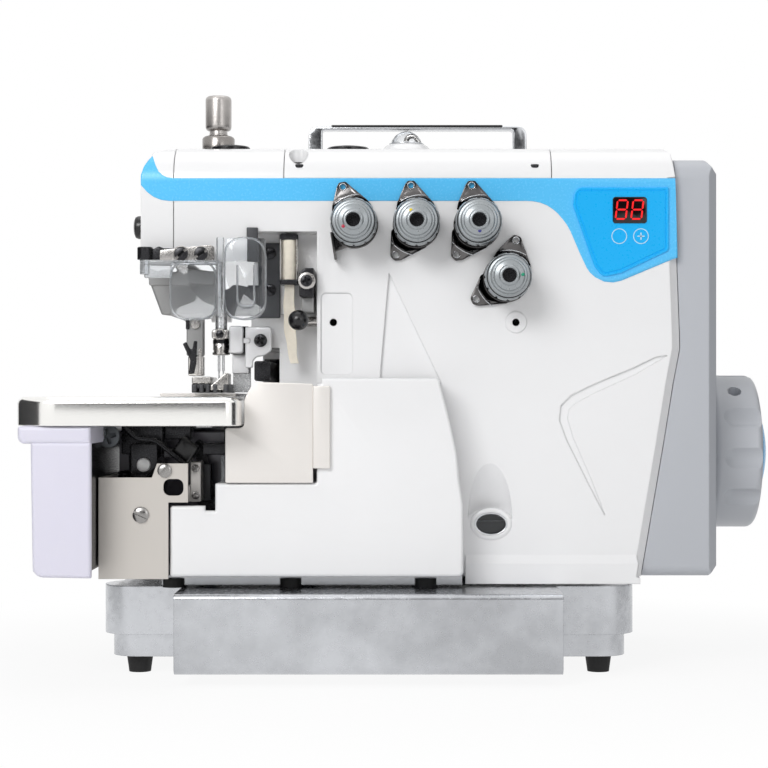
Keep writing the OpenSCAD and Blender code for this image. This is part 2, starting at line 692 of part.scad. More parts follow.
module presser_foot() color("gainsboro") difference() {
  union() {
    // hinge block, raised bridge and sole
    block(-134, -124.6, -68, -58, 177, 189);
    block(-130, -118.6, -84, -44, 172, 176.5);
    block(-130, -107.7, -86, -40, throat_z, 172.2);
    bar_y(-129.4, -69.4, -68 + eps, 183, 6);
    block(-134, -129.9, -72, -56, 174, 177.5);
  }
  block(needle_x - 4, needle_x + 3.6, -needle_y - 3, -needle_y + 3, 160, 180);
  // grooves under the toe
  for (x = [-127, -123, -119]) block(x, x + 1.6, -87, -70, throat_z - 1, throat_z + 2.4);
}

// ---------------------------------------------------------------- knives and throat

module knife_arm() color("#d8d9dc") {
  bar_x(-95, -62, knife_pin_y, knife_z, knife_shaft_d);
  bar_x(-94, -82, knife_pin_y, knife_z, 18);
  block(-94, -84.5, -69.5, knife_pin_y, knife_z - 6, knife_z + 6);
  from_front(-72, -69.5) polygon([[-99, 174], [-94.6, 174], [-94.6, 185.6], [-92.4, 188], [-87.6, 188.6],
    [-83.6, 191.4], [-83.6, 206.5], [-99, 206.5]]);
  block(-108.6, -97, -72, -56, 190, 207);
}

module knife_screw() color("#2a2b2d") slotted_head(-89.9, -74.4, 198, 7.8, 45);

module upper_knife() color("silver") block(-107.6, -97, -58.8, -56, 167.2, 190);

module lower_knife() color("silver") {
  block(-108, -96.5, -54.5, -51.7, 146, throat_z - 0.2);
}

// holder of the lower knife, screwed to the wall beside the throat
module knife_holder() color("#1f2022") {
  block(-123.5, -106.2, -88, -72, 130.1, 137.2);
  block(-110.8, -101.5, -88, -74, 130.1, 147.3);
  block(-110.8, -90, -88, -66, 143.2, 147.3);
}

module throat_plate() color("gainsboro") difference() {
  block(throat_left, throat_right, throat_front, throat_back, throat_z - 2.6, throat_z);
  // needle slot, feed dog slots, knife notch
  block(needle_x - 3.5, needle_x + 3, -needle_y - 2, -needle_y + 2, 150, 180);
  block(-130, -118.6, -52, -18, 150, 180);
  block(-130, -118.6, -72, -54, 150, 180);
  block(-109, -100, -62, -50, 150, 180);
}

module main_feed_dog() color("silver") {
  for (x = [-129, -123]) block(x, x + 3.4, -46, -24, 150, throat_z - 0.3);
  block(-129, -119.6, -46, -24, 146, 152);
}

module differential_feed_dog() color("silver") {
  for (x = [-129, -123]) block(x, x + 3.4, -69, -57, 150, throat_z - 0.3);
  block(-129, -119.6, -69, -57, 146, 152);
}

// ---------------------------------------------------------------- loopers

module looper(at, tip, blade_y) {
  bar_y(at[0], -58, -28, at[1], looper_shaft_d);
  bar_y(at[0], -66, -46, at[1], 18);
  hull() {
    bar_y(at[0], blade_y - 2, blade_y + 2, at[1], 12);
    bar_y(tip[0], blade_y - 2, blade_y + 2, tip[1], 5);
  }
}
module lower_looper() color("#2b2c2e") looper(lower_rock, [-128, 136], -56);
module upper_looper() color("#3a3b3e") looper(upper_rock, [-104, 138], -66);

module looper_bracket() color("#232426") {
  difference() {
    union() {
      block(-162.9, -147.1, -97, -bed_front, 118, 137.8);
      block(-172, -147.1, -82, -bed_front, 130, 147.6);
      block(-147.2, -131, -77, -bed_front, 139, 147.6);
      bar_y(-174.6, -97.6, -bed_front, 141, 10);
    }
    block(-160, -150, -94, -70, 116, 134);
  }
  // latch lever of the cloth plate, and its cap
  from_front(-101, -96.5) ribbon_2d(latch_path, 3.6);
  from_front(-94, -84) translate([-133, 132.5]) rotate(-35) square([12, 13], center = true);
  block(-147.5, -133, -92, -86, 128, 134);
}

// bright guide plate in front of the lower looper, on an arm from the bulkhead
module looper_thread_guide() color("gainsboro") {
  block(-132.1, -125.5, -72, -69, 101.6, 125.6);
  block(-134.5, -132.1 + eps, -72, -44, 101.6, 111.6);
}

module side_cover() color("#cdc8c3") {
  difference() {
    from_front(-120, -118) polygon([[-179.7, body_bottom + 1.5], [-139.6, body_bottom + 1.5],
      [-139.6, 103.7], [-128.3, 103.7], [-128.3, 126.1], [-146.1, 126.1], [-149, 118],
      [-179.7, 118]]);
    from_front(-122, -116) soft_rect(-142.4, -130.9, 107.6, 117.2, 3.8, 3.8);
  }
  block(-179.7, -177.7, -120, -20, body_bottom + 1.5, 118);
  block(-178, bed_left, -60, -40, 90, 110);
}

// ---------------------------------------------------------------- cloth plate

module cloth_outline(t) {
  soft_rect(-225 + t, -97 - t, -150 + t, -78 - t, 2, 9);
  soft_rect(-225 + t, throat_left - cloth_gap - t, -150 + t, 58 - t, 9, 9);
}

module cloth_plate() color("whitesmoke") difference() {
  union() {
    translate([0, 0, 148]) linear_extrude(16.5) cloth_outline(0);
    bar_z(cloth_pin[0], cloth_pin[1], 126, 150, 8);
  }
  difference() {
    translate([0, 0, 147]) linear_extrude(15.5) cloth_outline(2);
    bar_z(cloth_pin[0], cloth_pin[1], 126, 164, 14);
  }
}

module chute_cover() color("#e8e6f2") difference() {
  union() {
    block(-221, -181.5, -148, 20, 138, 148);
    block(-214, -182.5, -148, 20, 64, 139);
  }
  block(-211, -182, -145, 21, 60, 136);
}

// ---------------------------------------------------------------- front cover

module cover_front_outline() polygon([[-139, cover_z0], [30, cover_z0], [29.9, 102.2],
  [27.7, 116.5], [26.3, 131.5], [22.6, 149.1], [18.3, 165.5], [15.9, 175.3], [-52, 175.3],
  [-52, 172], [-54.5, 172], [-54.5, 114.6], [-113, 114.6], [-113, 98.9], [-118.6, 98.9],
  [-118.6, 101.7], [-139, 101.7]]);

module front_cover() color("white") difference() {
  from_front(-cover_front, -cover_back) cover_front_outline();
  from_front(-cover_front + cover_wall, -cover_back + 1)
    offset(delta = -cover_wall) cover_front_outline();
  // left of the step only the front wall remains, so that it clears the side cover
  block(-140, -113, -cover_front + cover_wall, -cover_back + 1, cover_z0 - 1, 120);
}

module fabric_plate() color("#e6e2df") {
  from_front(-cover_front - 1.5, -cover_front) polygon([[-107, 114.9], [-56.5, 114.9],
    [-56.5, 172], [-90.6, 173], [-96, 163], [-96, 146.5], [-107, 146.5]]);
  block(-56.5, -46.6, -cover_front - 3, -cover_front, 123.2, 170.7);
}

base_pan();
rubber_feet();
base_cushions();
main_frame();
face_cover();
top_cover();
carry_handle();
oil_sight_base();
oil_sight_dome();
oil_plugs();
black_screws();
bright_screws();
motor_cover();
motor_stator();
motor_rotor();
shaft_bearings();
main_shaft();
handwheel();
handwheel_disc();
control_panel();
display_window();
oil_window();
tension_studs();
tension_brackets();
tension_knob_1();
tension_knob_2();
tension_knob_3();
tension_knob_4();
head_plate();
felt_holder();
felt_wick();
guide_bracket();
release_lever();
guard_bracket();
eye_guard();
needle_rocker();
needle_bar();
needle_clamp();
needles();
pressure_lock_nut();
pressure_knob();
presser_arm();
presser_foot();
knife_arm();
knife_screw();
upper_knife();
lower_knife();
knife_holder();
throat_plate();
main_feed_dog();
differential_feed_dog();
lower_looper();
upper_looper();
looper_bracket();
looper_thread_guide();
side_cover();
cloth_plate();
chute_cover();
front_cover();
fabric_plate();
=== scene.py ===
"""Looks of the overlock sewing machine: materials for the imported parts, and computed surfaces for the
pieces whose form or finish goes beyond them. Lengths in the tables are millimetres in the part's frame."""
import math
import bpy
import numpy as np
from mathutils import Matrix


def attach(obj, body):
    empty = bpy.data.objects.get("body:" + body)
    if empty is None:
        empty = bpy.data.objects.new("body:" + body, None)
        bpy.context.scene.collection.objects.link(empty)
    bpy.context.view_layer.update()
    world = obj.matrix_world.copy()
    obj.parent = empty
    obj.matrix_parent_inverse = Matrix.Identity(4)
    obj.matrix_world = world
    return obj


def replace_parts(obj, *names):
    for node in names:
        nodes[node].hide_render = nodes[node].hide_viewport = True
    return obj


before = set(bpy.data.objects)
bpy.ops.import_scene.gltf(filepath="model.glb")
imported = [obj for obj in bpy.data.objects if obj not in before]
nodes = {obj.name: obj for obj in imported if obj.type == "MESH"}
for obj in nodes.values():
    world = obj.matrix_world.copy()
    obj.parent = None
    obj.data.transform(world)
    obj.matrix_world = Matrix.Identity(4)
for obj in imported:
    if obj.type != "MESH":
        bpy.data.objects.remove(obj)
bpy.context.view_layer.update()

# ---- The room -------------------------------------------------------------------------------------
# A white studio: paper floor and surround, a long lens level with the machine's middle, and soft boxes
# above and in front on both sides. Three dark flags, clear to the camera, give bright metal something to
# mirror.
MM = 0.001


def add(tree, kind, sockets=None, **settings):
    """A shader node in tree, with its settings; its input sockets are given as values or outputs to join."""
    made = tree.nodes.new(kind)
    for name, value in settings.items():
        setattr(made, name, value)
    for name, value in (sockets or {}).items():
        if isinstance(value, bpy.types.NodeSocket):
            tree.links.new(value, made.inputs[name])
        else:
            made.inputs[name].default_value = value
    return made


def calc(tree, operation, *terms, clamp=False):
    """The output of one maths node over up to three terms, each a number or a socket."""
    return add(tree, "ShaderNodeMath", dict(enumerate(terms)), operation=operation,
               use_clamp=clamp).outputs[0]


def seen_or_mirrored(tree):
    """1 for rays from the camera and for mirrored and refracted ones, else 0."""
    path = add(tree, "ShaderNodeLightPath").outputs
    return calc(tree, "MAXIMUM", path["Is Camera Ray"],
                calc(tree, "MAXIMUM", path["Is Glossy Ray"], path["Is Transmission Ray"]))


def linear(*srgb):
    """Linear RGBA of a colour given in 0..255 display values."""
    c = np.array(srgb) / 255.0
    return tuple(np.where(c < 0.04045, c / 12.92, ((c + 0.055) / 1.055) ** 2.4)) + (1.0,)


world = bpy.data.worlds.new("studio")
world.use_nodes = True
bpy.context.scene.world = world
sky = world.node_tree
sky.nodes["Background"].inputs["Color"].default_value = (1, 1, 1, 1)
sky.links.new(calc(sky, "MULTIPLY_ADD", seen_or_mirrored(sky), 0.5, 0.5),
              sky.nodes["Background"].inputs["Strength"])


def flat(name, corners, material):
    """A flat stage board through four corners in metres, outside the object."""
    mesh = bpy.data.meshes.new(name)
    mesh.from_pydata([tuple(c) for c in corners], [], [(0, 1, 2, 3)])
    mesh.materials.append(material)
    board = bpy.data.objects.new(name, mesh)
    bpy.context.collection.objects.link(board)
    return board


def board_material(name, colour, far_glow=None, near_share=0.9, unseen=False):
    """Matt board. With far_glow, the camera sees near_share of plain white in it, and beyond that radius
    only white. An unseen board is clear to the camera and stays in light and mirrored rays."""
    m = bpy.data.materials.new(name)
    m.use_nodes = True
    t = m.node_tree
    t.nodes.clear()
    shade = add(t, "ShaderNodeBsdfDiffuse", {"Color": colour}).outputs[0]
    if far_glow:
        place = add(t, "ShaderNodeTexCoord").outputs["Object"]
        radius = add(t, "ShaderNodeVectorMath", {0: place}, operation="LENGTH").outputs["Value"]
        near, far = far_glow
        span = {"Value": radius, "From Min": near, "From Max": far, "To Min": near_share}
        away = add(t, "ShaderNodeMapRange", span, interpolation_type="SMOOTHSTEP").outputs["Result"]
        glow = add(t, "ShaderNodeEmission", {"Color": (1, 1, 1, 1), "Strength": 1.0}).outputs[0]
        share = calc(t, "MULTIPLY", away, seen_or_mirrored(t))
        shade = add(t, "ShaderNodeMixShader", {0: share, 1: shade, 2: glow}).outputs[0]
    if unseen:
        camera_ray = add(t, "ShaderNodeLightPath").outputs["Is Camera Ray"]
        clear_board = add(t, "ShaderNodeBsdfTransparent").outputs[0]
        shade = add(t, "ShaderNodeMixShader", {0: camera_ray, 1: shade, 2: clear_board}).outputs[0]
    add(t, "ShaderNodeOutputMaterial", {"Surface": shade})
    return m


paper = board_material("paper", (0.95, 0.95, 0.95, 1), (0.24, 0.44))
flat("floor", [(-6, -4, 0), (6, -4, 0), (6, 6, 0), (-6, 6, 0)], paper)
flag_cloth = board_material("flag_cloth", (0.02, 0.02, 0.022, 1), unseen=True)
flag_x = 0.62
flag_front, flag_back, flag_foot, flag_head = -0.45, 0.42, 0.02, 0.42
for x, name in ((-flag_x, "flag_left"), (flag_x, "flag_right")):
    flat(name, [(x, flag_front, flag_foot), (x, flag_back, flag_foot), (x, flag_back, flag_head),
                (x, flag_front, flag_head)], flag_cloth)
flat("flag_over_lens",
     [(0.6, -1.7, 0.26), (-0.6, -1.7, 0.26), (-0.6, -1.7, 0.8), (0.6, -1.7, 0.8)], flag_cloth)


def lamp(name, place, aim, size, watts):
    """A soft box of the given width and height at place, turned towards aim."""
    light = bpy.data.lights.new(name, "AREA")
    light.shape = "RECTANGLE"
    light.size, light.size_y = size
    light.energy = watts
    made = bpy.data.objects.new(name, light)
    bpy.context.collection.objects.link(made)
    made.location = place
    way = np.subtract(aim, place) / np.linalg.norm(np.subtract(aim, place))
    made.rotation_euler = (math.acos(-way[2]), 0, math.atan2(-way[0], way[1]))


lamp("key_box", (-0.75, -1.6, 1.0), (0, 0, 0.16), (0.9, 0.7), 17.5)
lamp("fill_box", (0.8, -1.6, 0.6), (0, 0, 0.14), (0.7, 0.7), 2)
lamp("top_box", (0.0, 0.1, 1.5), (0, 0, 0.2), (1.3, 1.0), 4)

eye = bpy.data.cameras.new("eye")
eye.sensor_width, eye.lens = 36.0, 91.4
shift = 0.0208
eye.shift_x, eye.shift_y = -shift, shift
camera = bpy.data.objects.new("eye", eye)
bpy.context.collection.objects.link(camera)
camera.location = (-0.0065, -1.24, 0.1626)
camera.rotation_euler = (math.radians(90), 0, 0)
bpy.context.scene.camera = camera
bpy.context.scene.view_settings.view_transform = "Standard"


# ---- Base pan -------------------------------------------------------------------------------------
# The oil pan with its four corner drums is one sand casting in aluminium, fettled and left bare: a dull
# silver skin with a fine grain and darker blotches where oil has soaked in. Four rubber feet carry it.
def group(name, takes, gives):
    """A new shader node group with named sockets, its input sockets and its output node."""
    g = bpy.data.node_groups.new(name, "ShaderNodeTree")
    kinds = {float: "NodeSocketFloat", tuple: "NodeSocketVector"}
    for socket, start in takes.items():
        g.interface.new_socket(socket, in_out="INPUT", socket_type=kinds[type(start)]).default_value = start
    for socket, kind in gives.items():
        g.interface.new_socket(socket, in_out="OUTPUT", socket_type=kinds[kind])
    return g, g.nodes.new("NodeGroupInput").outputs, g.nodes.new("NodeGroupOutput").inputs


# Uneven Skin: fine grain, broad blotches and the normal that the grain gives
skin_takes = {"Place": (0.0, 0.0, 0.0), "Normal": (0.0, 0.0, 0.0), "Grain Scale": 900.0,
              "Grain Depth": 0.0001, "Blotch Scale": 14.0}
skin, takes, gives = group("Uneven Skin", skin_takes, {"Grain": float, "Blotch": float, "Normal": tuple})
grain = add(skin, "ShaderNodeTexNoise",
            {"Vector": takes["Place"], "Scale": takes["Grain Scale"], "Detail": 3.0})
blotch = add(skin, "ShaderNodeTexNoise",
             {"Vector": takes["Place"], "Scale": takes["Blotch Scale"], "Detail": 4.0, "Roughness": 0.6})
dents = add(skin, "ShaderNodeBump", {"Height": grain.outputs["Fac"], "Distance": takes["Grain Depth"],
                                     "Normal": takes["Normal"]})
skin.links.new(grain.outputs["Fac"], gives["Grain"])
spread = add(skin, "ShaderNodeMapRange", {"Value": blotch.outputs["Fac"], "From Min": 0.35, "From Max": 0.65})
skin.links.new(spread.outputs[0], gives["Blotch"])
skin.links.new(dents.outputs["Normal"], gives["Normal"])


# the colour sockets of a Mix node, which share their names with its other kinds
MIX_A, MIX_B, MIX_RESULT = 6, 7, 2


def finish(name, colour, metal=0.0, rough=(0.3, 0.4), grain=(900, 2e-5), blotch=(14, 0.06), stretch=(1, 1, 1),
           soft_edge=0.0004, **uniform):
    """Material whose colour darkens by the blotch share, whose roughness runs between rough with the grain,
    and whose edges are rounded by soft_edge. stretch squeezes the grain along an axis, as brushing does."""
    m = bpy.data.materials.new(name)
    m.use_nodes = True
    t = m.node_tree
    shader = t.nodes["Principled BSDF"]
    place = add(t, "ShaderNodeTexCoord").outputs["Object"]
    place = add(t, "ShaderNodeVectorMath", {0: place, 1: stretch}, operation="MULTIPLY").outputs[0]
    edge = add(t, "ShaderNodeBevel", {"Radius": soft_edge}, samples=4).outputs[0]
    s = add(t, "ShaderNodeGroup", node_tree=skin)
    for socket, value in (("Grain Scale", grain[0]), ("Grain Depth", grain[1]), ("Blotch Scale", blotch[0])):
        s.inputs[socket].default_value = value
    t.links.new(place, s.inputs["Place"])
    t.links.new(edge, s.inputs["Normal"])
    base = linear(*colour)
    dark = tuple(c * (1 - blotch[1]) for c in base[:3]) + (1.0,)
    mix = add(t, "ShaderNodeMix", {"Factor": s.outputs["Blotch"], MIX_A: base, MIX_B: dark}, data_type="RGBA")
    t.links.new(mix.outputs[MIX_RESULT], shader.inputs["Base Color"])
    spread = add(t, "ShaderNodeMapRange", {"Value": s.outputs["Grain"], "From Min": 0.3, "From Max": 0.7,
                                           "To Min": rough[0], "To Max": rough[1]})
    t.links.new(spread.outputs[0], shader.inputs["Roughness"])
    t.links.new(s.outputs["Normal"], shader.inputs["Normal"])
    shader.inputs["Metallic"].default_value = metal
    for socket, value in uniform.items():
        shader.inputs[socket.replace("_", " ")].default_value = value
    return m


def dress(material, *names):
    """Gives CAD nodes their material."""
    for name in names:
        nodes[name].data.materials.clear()
        nodes[name].data.materials.append(material)


cast = finish("cast_aluminium", (206, 208, 212), metal=1.0, rough=(0.2, 0.3), grain=(260, 6e-6),
              blotch=(18, 0.28), soft_edge=0.001)
rubber = finish("black_rubber", (12, 12, 13), rough=(0.6, 0.75), grain=(1500, 6e-5), soft_edge=0.001)
dress(cast, "base_pan")
dress(rubber, "rubber_feet", "base_cushions")

SHARP_FROM = math.radians(38)
# first, second and third direction of each plane that outlines lie in
PLANES = {"front": ((1, 0, 0), (0, 0, 1), (0, -1, 0)), "top": ((1, 0, 0), (0, 1, 0), (0, 0, 1)),
          "side": ((0, 1, 0), (0, 0, 1), (1, 0, 0))}


def put(name, points, faces, body, slot, material):
    """One new piece from points in millimetres (n x 3) and its faces, riding on body and given material; slot
    is not used.
    """
    mesh = bpy.data.meshes.new(name)
    mesh.from_pydata((np.asarray(points) * MM).tolist(), [], faces)
    mesh.polygons.foreach_set("use_smooth", np.ones(len(mesh.polygons), bool))
    mesh.set_sharp_from_angle(angle=SHARP_FROM)
    mesh.materials.append(material)
    made = bpy.data.objects.new(name, mesh)
    bpy.context.collection.objects.link(made)
    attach(made, body)
    return made


def strips(rows, count, wrap_rows=False):
    """Quads between rows of count points each, every row closed on itself."""
    i, j = np.meshgrid(np.arange(rows if wrap_rows else rows - 1), np.arange(count), indexing="ij")
    below, above, after = i * count, (i + 1) % rows * count, (j + 1) % count
    return np.stack([below + j, below + after, above + after, above + j], -1).reshape(-1, 4).tolist()


def revolve(profile, centre, plane, count=96, dent=None):
    """Closed surface of revolution and its faces: the point at height h and angle a lies at
    centre + r * (cos a * u + sin a * v) + h * w, with u, v, w the directions of the plane; dent gives the
    radius that a cut leaves of r at h and a. A profile that starts and ends on the axis gets a pole at each
    end; any other closes into a ring."""
    u, v, w = np.array(PLANES[plane], float)
    r, h = np.array(profile, float).T
    poles = r[0] < 1e-9 and r[-1] < 1e-9
    if poles:
        r, h, ends = r[1:-1], h[1:-1], (h[0], h[-1])
    a = np.arange(count) * 2 * math.pi / count
    radius = np.repeat(r[:, None], count, 1)
    if dent is not None:
        radius = dent(radius, h[:, None], a[None, :])
    around = np.cos(a)[:, None] * u + np.sin(a)[:, None] * v
    points = (radius[..., None] * around + h[:, None, None] * w).reshape(-1, 3)
    faces = strips(len(r), count, wrap_rows=not poles)
    if poles:
        n, j = len(points), np.arange(count)
        k = (j + 1) % count
        points = np.vstack([points, ends[0] * w, ends[1] * w])
        last = (len(r) - 1) * count
        faces += np.stack([k, j, np.full(count, n)], -1).tolist()
        faces += np.stack([last + j, last + k, np.full(count, n + 1)], -1).tolist()
    return points + np.array(centre, float), faces


def rounded(corners, radii, steps=7):
    """Outline with each corner replaced by an arc of its radius that touches both sides: the arc's centre
    lies on the corner's bisector at r / sin(half angle), its ends at r / tan(half angle) along the sides."""
    p = np.array(corners, float)
    r = np.broadcast_to(np.array(radii, float), len(p))[:, None]
    back, ahead = np.roll(p, 1, 0) - p, np.roll(p, -1, 0) - p
    back /= np.linalg.norm(back, axis=1, keepdims=True)
    ahead /= np.linalg.norm(ahead, axis=1, keepdims=True)
    half = np.arccos(np.clip((back * ahead).sum(1, keepdims=True), -1, 1)) / 2
    bisector = back + ahead
    bisector /= np.linalg.norm(bisector, axis=1, keepdims=True)
    centre = p + bisector * r / np.sin(half)
    start, end = p + back * r / np.tan(half) - centre, p + ahead * r / np.tan(half) - centre
    a = np.arctan2(start[:, 1], start[:, 0])
    turn = (np.arctan2(end[:, 1], end[:, 0]) - a + math.pi) % (2 * math.pi) - math.pi
    angle = a[:, None] + turn[:, None] * np.linspace(0, 1, steps)
    return (centre[:, None] + r[:, None] * np.stack([np.cos(angle), np.sin(angle)], -1)).reshape(-1, 2)


def shell(corners, radii, rings, plane, steps=7, hole=None):
    """Closed body carried along an outline of rounded corners: ring k has its sides moved inward by inset_k,
    its outer corners' radii cut and its inner corners' radii grown by as much, and lies at level_k along the
    plane's third direction. The first and last ring are capped, or run in to a round hole (x, z, radius)."""
    u, v, w = np.array(PLANES[plane], float)
    p = np.array(corners, float)
    r = np.array(np.broadcast_to(np.array(radii, float), len(p)))
    if np.sum(p[:, 0] * np.roll(p[:, 1], -1) - p[:, 1] * np.roll(p[:, 0], -1)) < 0:
        p, r = p[::-1], r[::-1]
    side = np.roll(p, -1, 0) - p
    side /= np.linalg.norm(side, axis=1, keepdims=True)
    out = np.stack([side[:, 1], -side[:, 0]], -1)
    before = np.roll(out, 1, 0)
    mitre = (before + out) / (1 + (before * out).sum(1, keepdims=True))
    convex = np.sign(before[:, 0] * out[:, 1] - before[:, 1] * out[:, 0])
    outlines = [rounded(p - inset * mitre, np.maximum(r - convex * inset, 0.03), steps) for inset, _ in rings]
    levels = [level for _, level in rings]
    if hole is not None:
        eye_rings = []
        for ring in (outlines[0], outlines[-1]):
            ray = ring - hole[:2]
            eye_rings.append(hole[:2] + hole[2] * ray / np.linalg.norm(ray, axis=1, keepdims=True))
        outlines = [eye_rings[0]] + outlines + [eye_rings[1]]
        levels = levels[:1] + levels + levels[-1:]
    rows = [ring[:, :1] * u + ring[:, 1:] * v + level * w for ring, level in zip(outlines, levels)]
    points = np.vstack(rows)
    n = len(outlines[0])
    faces = strips(len(outlines), n, wrap_rows=hole is not None)
    if hole is not None:
        return points, faces
    return points, faces + [list(range(n - 1, -1, -1)), list(range(len(points) - n, len(points)))]


def slab(low, high, round_low=0.5, round_high=0.5, steps=4):
    """Rings of a plate from level low to high whose edges follow quarter circles."""
    t = np.linspace(0, math.pi / 2, steps + 1)
    lower = np.stack([round_low * (1 - np.sin(t)), low + round_low * (1 - np.cos(t))], -1)
    upper = np.stack([round_high * (1 - np.cos(t)), high - round_high * (1 - np.sin(t))], -1)
    return np.vstack([lower, upper])


def plate(corners, radii, *thickness):
    """Plate that faces the front, with the levels and edge radii of a slab."""
    return shell(corners, radii, slab(*thickness), "front")


def block(x, z, radii, *thickness):
    """Plate over the rectangle between the two values of x and the two of z."""
    return plate([(x[0], z[0]), (x[1], z[0]), (x[1], z[1]), (x[0], z[1])], radii, *thickness)


def several(parts):
    """Points and faces of several bodies as one piece."""
    starts = np.cumsum([0] + [len(points) for points, _ in parts])
    return (np.vstack([points for points, _ in parts]),
            [[int(v) + int(s) for v in face] for s, (_, faces) in zip(starts, parts) for face in faces])


def tube(path, radius, count=12, closed=False):
    """Round rod along a path: at each point a circle of the radius there, in the plane across the path's
    heading, its first direction carried from point to point; open ends close in a cap."""
    p = np.array(path, float)
    r = np.broadcast_to(np.array(radius, float), len(p))
    heading = np.roll(p, -1, 0) - np.roll(p, 1, 0) if closed else np.gradient(p, axis=0)
    heading /= np.linalg.norm(heading, axis=1, keepdims=True)
    side = np.zeros_like(p)
    first = np.cross(heading[0], [0.0, 1.0, 0.0] if abs(heading[0][1]) < 0.9 else [1.0, 0.0, 0.0])
    for k, h in enumerate(heading):
        first = first - h * (first @ h)
        first /= np.linalg.norm(first)
        side[k] = first
    other = np.cross(heading, side)
    a = np.arange(count) * 2 * math.pi / count
    points = (p[:, None] + r[:, None, None]
              * (np.cos(a)[:, None] * side[:, None] + np.sin(a)[:, None] * other[:, None])).reshape(-1, 3)
    faces = strips(len(p), count, wrap_rows=closed)
    if not closed:
        faces += [list(range(count - 1, -1, -1)), list(range(len(points) - count, len(points)))]
    return points, faces


def smooth_path(corners, radius, steps=5, closed=False):
    """Polyline in space whose corners become quadratic curves that start and end radius away from them."""
    p = np.array(corners, float)
    made = []
    for k in range(len(p)):
        if not closed and k in (0, len(p) - 1):
            made.append(p[k])
            continue
        a, b, c = p[k - 1], p[k], p[(k + 1) % len(p)]
        cut = min(radius, np.linalg.norm(a - b) * 0.48, np.linalg.norm(c - b) * 0.48)
        a, c = b + (a - b) / np.linalg.norm(a - b) * cut, b + (c - b) / np.linalg.norm(c - b) * cut
        for t in np.linspace(0, 1, steps):
            made.append((1 - t) ** 2 * a + 2 * t * (1 - t) * b + t ** 2 * c)
    return np.array(made)


def screw(x, z, level, radius, turn=0.0, kind="slot", high=2.2, dome=0.45):
    """Domed screw head facing the front. Rows at share t of the radius are sqrt(1 - t^2) wide, so the slot's
    walls are straight; its height is high - dome * radius * (1 - sqrt(1 - 0.8 * distance^2)), less the slot.
    In shares of the radius the slot is 2 * half wide and depth deep; a cross has two, each arm long."""
    half, depth = (0.17, 0.55) if kind == "slot" else (0.16, 0.6)
    arm = 0.66
    beside = 0.02
    marks = [-0.998, -0.99, -0.95, -half - beside, -half, half, half + beside, 0.95, 0.99, 0.998]
    if kind == "cross":
        marks += [-arm, arm, -arm - beside, arm + beside]
    even = np.linspace(-0.9, 0.9, 19)
    t = np.unique(np.concatenate([marks, even]))
    s = np.unique(np.concatenate([marks, [-1, 1], even]))
    row, col = np.meshgrid(t, s, indexing="ij")
    xx, zz = col * np.sqrt(1 - row ** 2), row
    distance = np.clip(xx ** 2 + zz ** 2, 0, 1)
    top = high - dome * radius * (1 - np.sqrt(1 - 0.8 * distance))
    edge = half + 1e-6
    slot = np.abs(row) <= edge
    if kind == "cross":
        slot = (slot & (np.abs(col) <= arm)) | ((np.abs(col) <= edge) & (np.abs(row) <= arm))
    top = np.where(slot, np.maximum(top - radius * depth, 0.1), top)
    angle = math.radians(turn)
    px = x + radius * (xx * math.cos(angle) - zz * math.sin(angle))
    pz = z + radius * (xx * math.sin(angle) + zz * math.cos(angle))
    m, n = row.shape
    points = np.vstack([np.stack([px, -(level + top), pz], -1).reshape(-1, 3),
                        np.stack([px, np.full_like(px, -level), pz], -1).reshape(-1, 3)])
    i, j = np.meshgrid(np.arange(m - 1), np.arange(n - 1), indexing="ij")
    a, b, c, d = i * n + j, i * n + j + 1, (i + 1) * n + j + 1, (i + 1) * n + j
    front = np.stack([a, b, c, d], -1).reshape(-1, 4)
    loop = np.concatenate([np.arange(n), np.arange(1, m) * n + n - 1, (m - 1) * n + np.arange(n - 2, -1, -1),
                           np.arange(m - 2, 0, -1) * n])
    after = np.roll(loop, -1)
    rim = np.stack([loop, loop + m * n, after + m * n, after], -1)
    return points, front.tolist() + (front[:, ::-1] + m * n).tolist() + rim.tolist()


# ---- Head casting and its covers ------------------------------------------------------------------
# The arm, column and bed are one aluminium casting; end cover and top cover are screwed on. All are
# sprayed white with a glossy baked enamel that has a faint orange peel. Inside the looper compartment
# the casting is painted dark grey as painted shade, and the flange under it is left bare.
enamel, casting = [
    finish(name, (243, 243, 244), rough=(0.2, 0.27), grain=(420, 1e-5), blotch=(6, 0.02), soft_edge=0.0012,
           Coat_Weight=0.35, Coat_Roughness=0.08) for name in ("white_enamel", "masked_casting")]


def zone(material, box, colour, metal):
    """Turns material to another colour and metalness inside box, with its ends in metres for each axis."""
    t = material.node_tree
    shader = t.nodes["Principled BSDF"]
    place = add(t, "ShaderNodeTexCoord").outputs["Object"]
    axes = add(t, "ShaderNodeSeparateXYZ", {0: place}).outputs
    inside = 1.0
    for axis, (low, high) in zip(axes, box):
        inside = calc(t, "MULTIPLY", inside, calc(t, "COMPARE", axis, (low + high) / 2, (high - low) / 2))
    before = shader.inputs["Base Color"].links[0].from_socket
    mix = add(t, "ShaderNodeMix", {"Factor": inside, MIX_A: before, MIX_B: linear(*colour)}, data_type="RGBA")
    t.links.new(mix.outputs[MIX_RESULT], shader.inputs["Base Color"])
    held = [link.from_socket for link in shader.inputs["Metallic"].links] or [0.0]
    t.links.new(calc(t, "MULTIPLY_ADD", inside, metal, held[0]), shader.inputs["Metallic"])


# the first zone is painted shade: the looper compartment turns dark grey; the second gives the flange bare
# metal
zone(casting, ((-0.18, -0.0626), (-0.063, 0.0601), (0.05, 0.1439)), (92, 90, 98), 0.2)
zone(casting, ((-0.18, 0.031), (-0.11, -0.06), (0.05, 0.0603)), (188, 190, 193), 0.7)
dress(casting, "main_frame")
dress(enamel, "face_cover", "top_cover", "front_cover")


